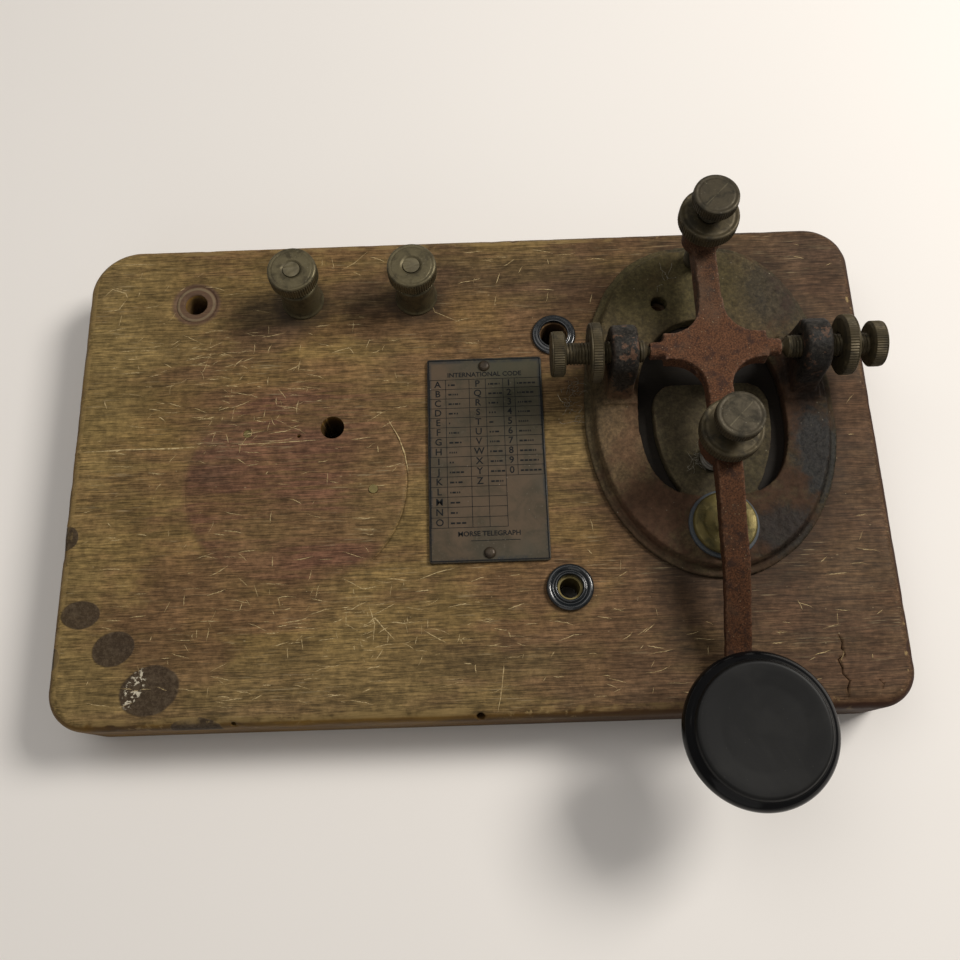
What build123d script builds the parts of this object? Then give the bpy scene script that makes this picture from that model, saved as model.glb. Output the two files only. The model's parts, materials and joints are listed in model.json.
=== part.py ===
from build123d import *
import math
import os

os.makedirs("parts", exist_ok=True)

# Millimetres. Origin: centre of the board's underside. +X along the board, +Y to the rear, +Z up.

# ---- wooden board ----
board_w = 203.2
board_d = 127.0
board_t = 19.05
board_corner_r = 9.0
board_edge_r = 2.0
board_under_r = 0.8
pocket_depth = 7.0
pocket_r = 6.6
strap_groove_w = 7.0
strap_groove_bend = 5.0
pin_hole_depth = 8.4
spare_pilot_r = 1.4
spare_pilot_depth = 10.0
nail_hole_r = 0.5
nail_hole_depth = 5.0

# ---- fits ----
thread_clear = 0.05
seat_gap = 0.05
snug_clear = 0.02
free_gap = 0.4

# ---- knurled screws and lock nuts of the key ----
thread_r = 2.8
head_r = 5.5
head_t = 3.5
nut_r = 7.3
nut_t = 4.1
post_nut_t = 3.2
knurl_depth = 0.22

# ---- key base casting ----
key_from_right = 41.9
key_from_rear = 55.5
base_x = board_w / 2 - key_from_right
base_y = board_d / 2 - key_from_rear
base_half_w = 29.4
base_front = 38.5
base_rear = 47.8
rear_fullness = 2.45
flange_w = 2.0
flange_t = 1.3
plate_h = 3.95
plate_round = 1.4
plate_top = board_t + plate_h
window_half_w = 18.2
window_front = 21.3
window_rear = 26.6
window_fullness = 2.6
window_rear_fullness = 2.3
base_pit_r = 1.3
base_pit_depth = 0.5
slot_w = 3.7
tongue_front = 24.5
tongue_corner_r = 6.0
tongue_h = 3.35
tongue_reach = 9.0
tongue_rear_y = base_y + tongue_reach
tongue_top = board_t + tongue_h
spare_hole_x = base_x - 10.5
spare_hole_y = base_y + 31.6
spare_hole_r = 2.0

# ---- pivot, posts and trunnion screws ----
pivot_y = base_y + 12.3
pivot_z = plate_top + 12.0
post_offset = 22.8
post_t = 6.6
post_r = 6.6
post_foot = 8.0
post_round = 1.1
post_waist_drop = 4.0
tip_r = 1.2
tip_len = 3.4
left_nut_gap = 1.8
left_head_gap = 5.6
right_nut_gap = 2.7
right_head_gap = 3.7
left_nut_x = base_x - post_offset - post_t / 2 - left_nut_gap - post_nut_t
right_nut_x = base_x + post_offset + post_t / 2 + right_nut_gap
left_head_x = left_nut_x - left_head_gap
right_head_x = right_nut_x + post_nut_t + right_head_gap

# ---- lever ----
lever_shift = 0.7
lever_x = base_x - lever_shift
lever_top = pivot_z + 1.9
hub_t = 4.8
arm_half = 12.4
arm_w = 7.0
stub_half = 15.8
stub_r = 2.15
hub_fillet = 7.5
front_bar_w = 6.1
rear_bar_w = 5.5
gap_screw_y = pivot_y + 31.0
tension_y = pivot_y - 23.3
contact_y = pivot_y - 40.5
knob_y = pivot_y - 89.0
rear_boss_r = 4.9
rear_boss_top = lever_top + 4.4
rear_boss_low = lever_top - 4.0
tension_boss_r = 5.7
tension_boss_top = lever_top + 2.2
tension_boss_low = lever_top - 5.6
eye_top = lever_top - 10.65
eye_t = 3.0
eye_r = 5.2
screw_gap = 4.3

# ---- lower contact ----
contact_x = base_x - 0.3
washer_r = 8.5
washer_t = 1.0
disc_r = 7.65
disc_t = 1.7
point_r = 1.7
point_h = 0.9
contact_gap = 1.0
stud_r = 2.1
stud_clear = 0.1
sleeve_r = 3.5
contact_pin_r = 1.6
contact_pin_len = 6.45
disc_top = plate_top + washer_t + disc_t

# ---- spring ----
wire_r = 0.45
coil_r = thread_r + 0.05
spring_seat_r = coil_r + wire_r + 0.5
spring_seat_depth = 0.9
spring_shoulder_z = lever_top - 3.2
pilot_r = 1.9

# ---- knob ----
knob_r = 16.7
knob_face_r = 14.3
knob_h = 13.8
knob_bottom = eye_top
knob_bore_depth = 9.0
knob_screw_head_r = 3.6
knob_screw_head_t = 1.7

# ---- binding posts ----
terminal_y = board_d / 2 - 17.4
terminal_empty_x = 29.2 - board_w / 2
terminal_left_x = terminal_empty_x + 28.5
terminal_right_x = terminal_left_x + 30.0
terminal_body_r = 5.6
terminal_body_h = 9.6
terminal_nut_r = 6.25
terminal_hole_r = 3.0
terminal_screw_r = 2.1
terminal_head_r = 4.2
terminal_collar_r = 4.9

# ---- straps and fixings under the board ----
strap_t = 0.8
strap_w = 4.0
eyelet_r = 4.4
eyelet_clear = 0.15
under_washer_r = 4.9
under_washer_t = 0.8
contact_nut_r = 4.3
contact_nut_t = 2.4
screw_head_t = 2.2
driver_slot_w = 1.0
driver_slot_depth = 1.0

# ---- code plate ----
code_x = base_x - 56.3
code_y = base_y - 7.7
code_w = 29.5
code_l = 54.0
code_t = 0.8
pin_y = 24.7
pin_r = 0.8
pin_head_r = 1.5
pin_head_h = 0.8
pin_len = 8.0

# ---- jack bushing and washer ----
jack_x = base_x - 37.5
jack_y = base_y - 41.4
empty_jack_x = base_x - 37.9
empty_jack_y = base_y + 25.5
bushing_r = 5.8
bushing_lip_r = 3.7
bushing_body_r = 4.3
bushing_bore_r = 2.95
jack_bore_r = 2.45
empty_jack_r = 3.4
buzzer_hole_x = terminal_left_x + 8.4
buzzer_hole_y = terminal_y - 36.35
buzzer_hole_r = 3.0
buzzer_screw_r = 1.1
buzzer_screw_len = 7.0
jack_sleeve_len = 10.0
jack_sleeve_drop = 0.6
buzzer_screw_places = [
    (buzzer_hole_x - 21.6, buzzer_hole_y - 0.85),
    (buzzer_hole_x + 10.5, buzzer_hole_y - 16.75),
]

CENTER_LOW = (Align.CENTER, Align.CENTER, Align.MIN)
CENTER_TOP = (Align.CENTER, Align.CENTER, Align.MAX)


def oval(half_w, front, rear, fullness, grow=0.0, front_fullness=2.0):
    """Points of an egg-shaped outline about its widest line."""
    points = []
    for i in range(72):
        a = math.radians(i * 5.0)
        c = math.cos(a)
        s = math.sin(a)
        power = 2.0 / (fullness if s >= 0 else front_fullness)
        depth = rear + grow if s >= 0 else front + grow
        px = (half_w + grow) * math.copysign(abs(c) ** power, c)
        py = depth * math.copysign(abs(s) ** power, s)
        points.append((px, py))
    return points


def star(radius, depth, count):
    """Points of a straight-knurled outline."""
    points = []
    for i in range(count):
        a = 2 * math.pi * i / count
        b = 2 * math.pi * (i + 0.5) / count
        points.append((radius * math.cos(a), radius * math.sin(a)))
        points.append(((radius - depth) * math.cos(b), (radius - depth) * math.sin(b)))
    return points


def knurled_disc(plane, radius, thick, count, rim=0.55):
    """A knurled band between two plain rims, drawn on plane from its origin along its normal."""
    with BuildSketch(plane) as blank:
        Circle(radius - 0.18)
    extrude(blank.sketch, amount=thick)
    with BuildSketch(plane.offset(rim)) as band:
        Polygon(*star(radius, knurl_depth, count), align=None)
    extrude(band.sketch, amount=thick - 2 * rim)


def bevelled_rod(plane, radius, length, bevel=0.4):
    """A plain rod with a bevelled far end, from the plane's origin along its normal."""
    with BuildSketch(plane) as rod:
        Circle(radius)
    extrude(rod.sketch, amount=length - bevel)
    with BuildSketch(plane.offset(length - bevel)) as tip:
        Circle(radius)
    extrude(tip.sketch, amount=bevel, taper=45)


def up(x, y, z):
    return Plane(origin=(x, y, z), x_dir=(1, 0, 0), z_dir=(0, 0, 1))


def down(x, y, z):
    return Plane(origin=(x, y, z), x_dir=(1, 0, 0), z_dir=(0, 0, -1))


def along_x(x, sign):
    return Plane(origin=(x, pivot_y, pivot_z), x_dir=(0, 1, 0), z_dir=(sign, 0, 0))


# ======== wooden board ========
base_screw_x = base_x
base_screw_y = base_y + 34.0
screw_points = [
    (terminal_left_x, terminal_y),
    (terminal_right_x, terminal_y),
    (contact_x, contact_y),
    (base_screw_x, base_screw_y),
]
strap_base_y = board_d / 2 - 7.5
edge_hole_tilt = (0, -0.55, 0.83)
edge_hole_inset = 0.4

with BuildPart() as wooden_board:
    with BuildSketch(Plane.XY):
        RectangleRounded(board_w, board_d, board_corner_r)
    extrude(amount=board_t)
    fillet(wooden_board.faces().sort_by(Axis.Z)[-1].edges(), board_edge_r)
    fillet(wooden_board.faces().sort_by(Axis.Z)[0].edges(), board_under_r)
    # stud and screw holes, with a round pocket under each for its head or nut
    with Locations(*[(x, y, 0) for x, y in screw_points], (terminal_empty_x, terminal_y, 0)):
        Cylinder(pocket_r, pocket_depth, align=CENTER_LOW, mode=Mode.SUBTRACT)
    with Locations(
        (terminal_left_x, terminal_y, 0),
        (terminal_right_x, terminal_y, 0),
        (terminal_empty_x, terminal_y, 0),
        (contact_x, contact_y, 0),
    ):
        Cylinder(terminal_hole_r, board_t, align=CENTER_LOW, mode=Mode.SUBTRACT)
    with Locations((base_screw_x, base_screw_y, 0)):
        Cylinder(stud_r + 0.4, board_t, align=CENTER_LOW, mode=Mode.SUBTRACT)
    # grooves for the two straps
    with BuildSketch(Plane.XY):
        with BuildLine():
            FilletPolyline(
                (terminal_left_x, terminal_y),
                (terminal_left_x, strap_base_y),
                (base_screw_x, strap_base_y),
                (base_screw_x, base_screw_y),
                radius=strap_groove_bend,
            )
        trace(line_width=strap_groove_w)
        with BuildLine():
            Line((terminal_right_x, terminal_y), (contact_x, contact_y))
        trace(line_width=strap_groove_w)
    extrude(amount=pocket_depth, mode=Mode.SUBTRACT)
    # holes left where the buzzer and the upper jack were
    with Locations((buzzer_hole_x, buzzer_hole_y, 0)):
        Cylinder(buzzer_hole_r, board_t, align=CENTER_LOW, mode=Mode.SUBTRACT)
    with Locations((empty_jack_x, empty_jack_y, 0)):
        Cylinder(empty_jack_r, board_t, align=CENTER_LOW, mode=Mode.SUBTRACT)
    with Locations((jack_x, jack_y, 0)):
        Cylinder(bushing_body_r + snug_clear, board_t, align=CENTER_LOW, mode=Mode.SUBTRACT)
    # pin holes, pilot holes and nail holes
    with Locations((code_x, code_y + pin_y, board_t), (code_x, code_y - pin_y, board_t)):
        Cylinder(pin_r + snug_clear, pin_hole_depth, align=CENTER_TOP, mode=Mode.SUBTRACT)
    with Locations((spare_hole_x, spare_hole_y, board_t)):
        Cylinder(spare_pilot_r, spare_pilot_depth, align=CENTER_TOP, mode=Mode.SUBTRACT)
    with Locations(*[(x, y, board_t) for x, y in buzzer_screw_places]):
        Cylinder(buzzer_screw_r + snug_clear, buzzer_screw_len + 1.0, align=CENTER_TOP, mode=Mode.SUBTRACT)
    with Locations((buzzer_hole_x - 8.5, buzzer_hole_y - 2.0, board_t)):
        Cylinder(nail_hole_r, nail_hole_depth, align=CENTER_TOP, mode=Mode.SUBTRACT)
    for hole_x, hole_r in ((0.0, 1.05), (terminal_left_x - 13.3, 0.6)):
        edge_spot = (hole_x, edge_hole_inset - board_d / 2, board_t - edge_hole_inset)
        with Locations(Plane(origin=edge_spot, z_dir=edge_hole_tilt)):
            Cylinder(hole_r, 10.0, mode=Mode.SUBTRACT)
wooden_board.part.label = "wooden_board"

# ======== key base casting ========
post_centres = (base_x - post_offset, base_x + post_offset)

with BuildPart() as key_base:
    # two trunnion posts with barrel tops
    for post_x in post_centres:
        with BuildSketch(Plane(origin=(post_x - post_t / 2, 0, 0), x_dir=(0, 1, 0), z_dir=(1, 0, 0))):
            with BuildLine():
                side = math.asin(0.25)
                hy = post_r * math.cos(side)
                hz = pivot_z + post_r * math.sin(side)
                arc = ThreePointArc(
                    (pivot_y - hy, hz), (pivot_y, pivot_z + post_r), (pivot_y + hy, hz)
                )
                Polyline(
                    (pivot_y + hy, hz),
                    (pivot_y + post_r + 0.2, pivot_z - post_waist_drop),
                    (pivot_y + post_foot, plate_top - 1.0),
                    (pivot_y - post_foot, plate_top - 1.0),
                    (pivot_y - post_r - 0.2, pivot_z - post_waist_drop),
                    (pivot_y - hy, hz),
                )
            make_face()
        extrude(amount=post_t)
    side_edges = key_base.edges().filter_by(
        lambda e: abs(e.center().X - post_centres[0]) > 3.0
        and abs(e.center().X - post_centres[1]) > 3.0
        and e.center().Z > plate_top
    )
    fillet(side_edges, post_round)
    # feet where the posts meet the plate
    with Locations(*[(x, pivot_y, plate_top - 1.0) for x in post_centres]):
        Box(post_t + 2.0, 2 * post_foot + 1.6, 2.0, align=CENTER_LOW)
    # raised plateau with a rounded edge
    with BuildSketch(up(base_x, base_y, board_t)):
        with BuildLine():
            Spline(*oval(base_half_w, base_front, base_rear, rear_fullness), periodic=True)
        make_face()
    extrude(amount=plate_h - plate_round)
    with BuildSketch(up(base_x, base_y, plate_top - plate_round)):
        with BuildLine():
            Spline(*oval(base_half_w, base_front, base_rear, rear_fullness), periodic=True)
        make_face()
    extrude(amount=plate_round, taper=28)
    # thin flange round the foot
    with BuildSketch(up(base_x, base_y, board_t)):
        with BuildLine():
            Spline(*oval(base_half_w, base_front, base_rear, rear_fullness, flange_w), periodic=True)
        make_face()
    extrude(amount=flange_t)
    # shield-shaped window
    with BuildSketch(up(base_x, base_y, board_t)):
        with BuildLine():
            window = oval(
                window_half_w, window_front, window_rear, window_rear_fullness, 0.0, window_fullness
            )
            Spline(*window, periodic=True)
        make_face()
    extrude(amount=plate_h, mode=Mode.SUBTRACT)
    # tongue standing in the window, joined to the plate at the front
    with BuildSketch(up(base_x, base_y, board_t)):
        with BuildLine():
            tongue = oval(window_half_w - slot_w, tongue_front, window_rear, window_rear_fullness)
            Spline(*tongue, periodic=True)
        make_face()
        with Locations((0, tongue_reach + base_rear)):
            Rectangle(4 * base_half_w, 2 * base_rear, mode=Mode.SUBTRACT)
        corners = vertices().filter_by(lambda v: abs(v.Y - tongue_reach) < 0.01)
        fillet(corners, tongue_corner_r)
    extrude(amount=tongue_h)
    # bores
    with Locations(Plane(origin=(base_x, pivot_y, pivot_z), z_dir=(1, 0, 0))):
        Cylinder(thread_r + thread_clear, 80, mode=Mode.SUBTRACT)
    with Locations((contact_x, contact_y, board_t)):
        Cylinder(sleeve_r + snug_clear, 12, align=CENTER_LOW, mode=Mode.SUBTRACT)
    with Locations((spare_hole_x, spare_hole_y, board_t)):
        Cylinder(spare_hole_r, 12, align=CENTER_LOW, mode=Mode.SUBTRACT)
    with Locations((base_screw_x, base_screw_y, board_t)):
        Cylinder(stud_r + snug_clear, 3.2, align=CENTER_LOW, mode=Mode.SUBTRACT)
    with Locations((lever_x, tension_y, tongue_top)):
        Cylinder(spring_seat_r, spring_seat_depth, align=CENTER_TOP, mode=Mode.SUBTRACT)
    with Locations((base_x - 19.3, base_y - 3.5, plate_top)):
        Cylinder(base_pit_r, base_pit_depth, align=CENTER_TOP, mode=Mode.SUBTRACT)
key_base.part.label = "key_base"

# ======== lower contact: disc on a stud, insulated from the casting ========
contact_lead = 2.6
with BuildPart() as contact_stud:
    with Locations((contact_x, contact_y, plate_top + washer_t)):
        Cylinder(disc_r, disc_t, align=CENTER_LOW)
    fillet(contact_stud.edges().sort_by(Axis.Z)[-1], 0.4)
    with Locations((contact_x, contact_y, disc_top)):
        Cylinder(point_r, point_h, align=CENTER_LOW)
    with Locations((contact_x, contact_y, contact_lead)):
        Cylinder(stud_r, plate_top + washer_t - contact_lead, align=CENTER_LOW)
contact_stud.part.label = "contact_stud"

with BuildPart() as contact_washer:
    with Locations((contact_x, contact_y, plate_top)):
        Cylinder(washer_r, washer_t, align=CENTER_LOW)
        Cylinder(stud_r + stud_clear, washer_t, align=CENTER_LOW, mode=Mode.SUBTRACT)
contact_washer.part.label = "contact_washer"

with BuildPart() as contact_sleeve:
    with Locations((contact_x, contact_y, board_t)):
        Cylinder(sleeve_r, plate_h, align=CENTER_LOW)
        Cylinder(stud_r + stud_clear, plate_h, align=CENTER_LOW, mode=Mode.SUBTRACT)
contact_sleeve.part.label = "contact_sleeve"

with BuildPart() as contact_under_washer:
    with Locations((contact_x, contact_y, pocket_depth - strap_t)):
        Cylinder(under_washer_r, under_washer_t, align=CENTER_TOP)
        Cylinder(stud_r + stud_clear, under_washer_t, align=CENTER_TOP, mode=Mode.SUBTRACT)
contact_under_washer.part.label = "contact_under_washer"

with BuildPart() as contact_nut:
    with BuildSketch(down(contact_x, contact_y, pocket_depth - strap_t - under_washer_t)):
        RegularPolygon(contact_nut_r, 6)
        Circle(stud_r + snug_clear, mode=Mode.SUBTRACT)
    extrude(amount=contact_nut_t)
contact_nut.part.label = "contact_nut"

# ======== hold-down screw of the base ========
with BuildPart() as base_screw:
    with Locations((base_screw_x, base_screw_y, pocket_depth - strap_t)):
        Cylinder(terminal_head_r, screw_head_t, align=CENTER_TOP)
    with Locations((base_screw_x, base_screw_y, pocket_depth - strap_t)):
        Cylinder(stud_r, board_t + 3.0 - pocket_depth + strap_t, align=CENTER_LOW)
    with Locations((base_screw_x, base_screw_y, pocket_depth - strap_t - screw_head_t)):
        Box(2.2 * terminal_head_r, driver_slot_w, driver_slot_depth, align=CENTER_LOW, mode=Mode.SUBTRACT)
base_screw.part.label = "base_screw"

# ======== straps under the board ========
with BuildPart() as strap_contact:
    with BuildSketch(down(0, 0, pocket_depth)):
        with BuildLine():
            Line((terminal_right_x, -terminal_y), (contact_x, -contact_y))
        trace(line_width=strap_w)
        with Locations((terminal_right_x, -terminal_y), (contact_x, -contact_y)):
            Circle(eyelet_r)
        with Locations((terminal_right_x, -terminal_y)):
            Circle(terminal_screw_r + eyelet_clear, mode=Mode.SUBTRACT)
        with Locations((contact_x, -contact_y)):
            Circle(stud_r + eyelet_clear, mode=Mode.SUBTRACT)
    extrude(amount=strap_t)
strap_contact.part.label = "strap_contact"

with BuildPart() as strap_base:
    with BuildSketch(down(0, 0, pocket_depth)):
        with BuildLine():
            FilletPolyline(
                (terminal_left_x, -terminal_y),
                (terminal_left_x, -strap_base_y),
                (base_screw_x, -strap_base_y),
                (base_screw_x, -base_screw_y),
                radius=strap_groove_bend,
            )
        trace(line_width=strap_w)
        with Locations((terminal_left_x, -terminal_y), (base_screw_x, -base_screw_y)):
            Circle(eyelet_r)
        with Locations((terminal_left_x, -terminal_y)):
            Circle(terminal_screw_r + eyelet_clear, mode=Mode.SUBTRACT)
        with Locations((base_screw_x, -base_screw_y)):
            Circle(stud_r + eyelet_clear, mode=Mode.SUBTRACT)
    extrude(amount=strap_t)
strap_base.part.label = "strap_base"

# ======== binding posts ========
nut_low = board_t + terminal_body_h + 0.6
nut_collar_h = 1.5
nut_band_h = 4.6
terminal_end = nut_low + nut_collar_h + nut_band_h - 0.15


def terminal_body(x):
    with Locations((x, terminal_y, board_t)):
        Cylinder(terminal_body_r, terminal_body_h, align=CENTER_LOW)
        Cylinder(terminal_screw_r + 0.1, terminal_body_h, align=CENTER_LOW, mode=Mode.SUBTRACT)


def terminal_screw(x):
    under = pocket_depth - strap_t
    with Locations((x, terminal_y, under)):
        Cylinder(terminal_head_r, screw_head_t, align=CENTER_TOP)
        Cylinder(terminal_screw_r, terminal_end - under, align=CENTER_LOW)
    with Locations((x, terminal_y, under - screw_head_t)):
        Box(2.2 * terminal_head_r, driver_slot_w, driver_slot_depth, align=CENTER_LOW, mode=Mode.SUBTRACT)


def terminal_nut(x):
    with Locations((x, terminal_y, nut_low)):
        Cylinder(terminal_collar_r, nut_collar_h, align=CENTER_LOW)
    knurled_disc(up(x, terminal_y, nut_low + nut_collar_h), terminal_nut_r, nut_band_h, 48, 0.7)
    with Locations((x, terminal_y, nut_low)):
        Cylinder(terminal_screw_r + thread_clear, 12, align=CENTER_LOW, mode=Mode.SUBTRACT)


with BuildPart() as terminal_body_left:
    terminal_body(terminal_left_x)
    chamfer(terminal_body_left.edges().group_by(Axis.Z)[-1].sort_by(SortBy.LENGTH)[-1], 0.4)
terminal_body_left.part.label = "terminal_body_left"

with BuildPart() as terminal_body_right:
    terminal_body(terminal_right_x)
    chamfer(terminal_body_right.edges().group_by(Axis.Z)[-1].sort_by(SortBy.LENGTH)[-1], 0.4)
terminal_body_right.part.label = "terminal_body_right"

with BuildPart() as terminal_screw_left:
    terminal_screw(terminal_left_x)
terminal_screw_left.part.label = "terminal_screw_left"

with BuildPart() as terminal_screw_right:
    terminal_screw(terminal_right_x)
terminal_screw_right.part.label = "terminal_screw_right"

with BuildPart() as terminal_nut_left:
    terminal_nut(terminal_left_x)
terminal_nut_left.part.label = "terminal_nut_left"

with BuildPart() as terminal_nut_right:
    terminal_nut(terminal_right_x)
terminal_nut_right.part.label = "terminal_nut_right"

# ======== code plate and its pins ========
with BuildPart() as code_plate:
    with BuildSketch(up(code_x, code_y, board_t)):
        RectangleRounded(code_w, code_l, 0.8)
        with Locations((0, pin_y), (0, -pin_y)):
            Circle(pin_r + 0.1, mode=Mode.SUBTRACT)
    extrude(amount=code_t)
code_plate.part.label = "code_plate"

with BuildPart() as plate_pins:
    with Locations((code_x, code_y + pin_y, board_t + code_t), (code_x, code_y - pin_y, board_t + code_t)):
        Cylinder(pin_head_r, pin_head_h, align=CENTER_LOW)
        Cylinder(pin_r, pin_len + code_t, align=CENTER_TOP)
    fillet(plate_pins.edges().filter_by(GeomType.CIRCLE).group_by(Axis.Z)[-1], 0.6)
plate_pins.part.label = "plate_pins"

# ======== jack bushing, its sleeve, the loose washer and the broken screws ========
with BuildPart() as jack_bushing:
    with BuildSketch(Plane(origin=(jack_x, jack_y, board_t), x_dir=(1, 0, 0), z_dir=(0, -1, 0))):
        with BuildLine():
            Polyline(
                (bushing_bore_r, -12.0),
                (bushing_body_r, -12.0),
                (bushing_body_r, 0.0),
                (bushing_r, 0.0),
                (bushing_r, 0.8),
                (bushing_r - 0.4, 1.3),
                (bushing_r - 0.9, 1.3),
                (bushing_lip_r + 0.3, 0.8),
                (bushing_lip_r, 1.2),
                (bushing_lip_r - 0.3, 1.2),
                (bushing_bore_r, 0.2),
                (bushing_bore_r, -12.0),
            )
        make_face()
    revolve(axis=Axis((jack_x, jack_y, 0), (0, 0, 1)))
jack_bushing.part.label = "jack_bushing"

with BuildPart() as jack_sleeve:
    with Locations((jack_x, jack_y, board_t - jack_sleeve_drop)):
        Cylinder(bushing_bore_r - snug_clear, jack_sleeve_len, align=CENTER_TOP)
        Cylinder(jack_bore_r, jack_sleeve_len, align=CENTER_TOP, mode=Mode.SUBTRACT)
jack_sleeve.part.label = "jack_sleeve"

with BuildPart() as board_washer:
    with BuildSketch(Plane(origin=(empty_jack_x, empty_jack_y, board_t), x_dir=(1, 0, 0), z_dir=(0, -1, 0))):
        with BuildLine():
            Polyline(
                (empty_jack_r + 0.2, 0.0),
                (bushing_r, 0.0),
                (bushing_r, 0.6),
                (bushing_r - 0.4, 0.9),
                (empty_jack_r + 0.8, 0.9),
                (empty_jack_r + 0.5, 1.2),
                (empty_jack_r + 0.2, 1.2),
                (empty_jack_r + 0.2, 0.0),
            )
        make_face()
    revolve(axis=Axis((empty_jack_x, empty_jack_y, 0), (0, 0, 1)))
board_washer.part.label = "board_washer"

with BuildPart() as screw_remnants:
    for (x, y), stand in zip(buzzer_screw_places, (-0.5, 0.2)):
        with Locations((x, y, board_t + stand)):
            Cylinder(buzzer_screw_r, buzzer_screw_len, align=CENTER_TOP)
screw_remnants.part.label = "screw_remnants"

# ======== lever ========
contact_pin_low = disc_top + point_h + contact_gap
bar_flat_y = tension_y - 10.0
bar_bend_y = contact_y - 12.3
bar_bend_z = lever_top - 3.2
bar_level_y = knob_y + 18.4
stub_left_x = lever_x - stub_half
stub_right_x = lever_x + stub_half

with BuildPart() as lever:
    # cross-shaped hub with deep fillets between arms and bars
    with BuildSketch(up(lever_x, pivot_y + 0.4, lever_top - hub_t)):
        Rectangle(2 * arm_half, arm_w)
        Rectangle(front_bar_w, arm_w + 2 * hub_fillet + 3.0)
        inner = [v for v in vertices() if abs(v.X) < arm_half - 1 and abs(v.Y) < arm_w]
        fillet(inner, hub_fillet)
    extrude(amount=hub_t)
    # front bar: flat, a gentle drop, a bend down and a level eye under the knob
    with BuildSketch(Plane(origin=(lever_x - front_bar_w / 2, 0, 0), x_dir=(0, 1, 0), z_dir=(1, 0, 0))):
        with BuildLine():
            Polyline(
                (pivot_y, lever_top),
                (bar_flat_y, lever_top),
                (bar_flat_y - 10.5, bar_bend_z + 1.1),
                (bar_bend_y, bar_bend_z),
                (bar_level_y, eye_top),
                (knob_y, eye_top),
                (knob_y, eye_top - eye_t),
                (bar_level_y - 1.2, eye_top - eye_t),
                (bar_bend_y - 1.6, bar_bend_z - 3.6),
                (bar_flat_y - 11.0, bar_bend_z + 1.1 - 4.0),
                (bar_flat_y, lever_top - hub_t + 0.1),
                (pivot_y, lever_top - hub_t),
                (pivot_y, lever_top),
            )
        make_face()
        soft = [v for v in vertices() if knob_y + 1 < v.X < pivot_y - 1]
        fillet(soft, 6.0)
    extrude(amount=front_bar_w)
    # rear bar
    with Locations((lever_x, (pivot_y + gap_screw_y) / 2, lever_top)):
        Box(
            rear_bar_w,
            gap_screw_y - pivot_y,
            hub_t + 1.2,
            align=(Align.CENTER, Align.CENTER, Align.MAX),
        )
    # bosses, eye and round stubs
    with Locations((lever_x, gap_screw_y, rear_boss_low)):
        Cylinder(rear_boss_r, rear_boss_top - rear_boss_low, align=CENTER_LOW)
    with Locations((lever_x, tension_y, tension_boss_low)):
        Cylinder(tension_boss_r, tension_boss_top - tension_boss_low, align=CENTER_LOW)
    with Locations((lever_x, knob_y, eye_top - eye_t)):
        Cylinder(eye_r, eye_t, align=CENTER_LOW)
    for side in (-1, 1):
        with Locations(along_x(lever_x + side * (arm_half - 0.5), side)):
            Cylinder(stub_r, stub_half - arm_half + 0.5, align=CENTER_LOW)
    # bores
    with Locations((lever_x, gap_screw_y, 0)):
        Cylinder(thread_r + thread_clear, 60, align=CENTER_LOW, mode=Mode.SUBTRACT)
    with Locations((lever_x, tension_y, 0)):
        Cylinder(thread_r + thread_clear, 60, align=CENTER_LOW, mode=Mode.SUBTRACT)
        Cylinder(coil_r + wire_r + 0.4, spring_shoulder_z, align=CENTER_LOW, mode=Mode.SUBTRACT)
    with Locations((lever_x, knob_y, 0)):
        Cylinder(stud_r + snug_clear, 40, align=CENTER_LOW, mode=Mode.SUBTRACT)
    with Locations((lever_x, contact_y, contact_pin_low)):
        Cylinder(contact_pin_r + snug_clear, contact_pin_len + seat_gap, align=CENTER_LOW, mode=Mode.SUBTRACT)
    with Locations(
        Plane(origin=(stub_left_x, pivot_y, pivot_z), z_dir=(1, 0, 0)),
        Plane(origin=(stub_right_x, pivot_y, pivot_z), z_dir=(-1, 0, 0)),
    ):
        Cylinder(tip_r + 0.07, tip_len, align=CENTER_LOW, mode=Mode.SUBTRACT)
lever.part.label = "lever"

with BuildPart() as lever_contact:
    with Locations((lever_x, contact_y, contact_pin_low)):
        Cylinder(contact_pin_r, contact_pin_len, align=CENTER_LOW)
    fillet(lever_contact.edges().sort_by(Axis.Z)[0], 0.3)
lever_contact.part.label = "lever_contact"

# ======== knob and its screw ========
knob_top = knob_bottom + knob_h
with BuildPart() as knob:
    with BuildSketch(Plane(origin=(lever_x, knob_y, 0), x_dir=(1, 0, 0), z_dir=(0, -1, 0))):
        with BuildLine():
            Polyline((0, knob_top - 0.5), (0, knob_bottom), (9.0, knob_bottom))
            Spline(
                (9.0, knob_bottom),
                (11.5, knob_bottom + 3.4),
                (knob_r - 0.9, knob_bottom + 7.9),
                (knob_r, knob_bottom + 9.8),
                (knob_r - 0.8, knob_bottom + 11.6),
                (knob_face_r + 0.55, knob_top - 1.3),
                tangents=[(0, 1), (-1, 0.25)],
            )
            Polyline(
                (knob_face_r + 0.55, knob_top - 1.3),
                (knob_face_r, knob_top - 1.1),
                (knob_face_r, knob_top - 0.4),
                (knob_face_r - 0.5, knob_top),
                (knob_face_r - 2.0, knob_top),
                (0, knob_top - 0.5),
            )
        make_face()
    revolve(axis=Axis((lever_x, knob_y, 0), (0, 0, 1)))
    with Locations((lever_x, knob_y, knob_bottom)):
        Cylinder(stud_r + snug_clear, knob_bore_depth, align=CENTER_LOW, mode=Mode.SUBTRACT)
knob.part.label = "knob"

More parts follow.
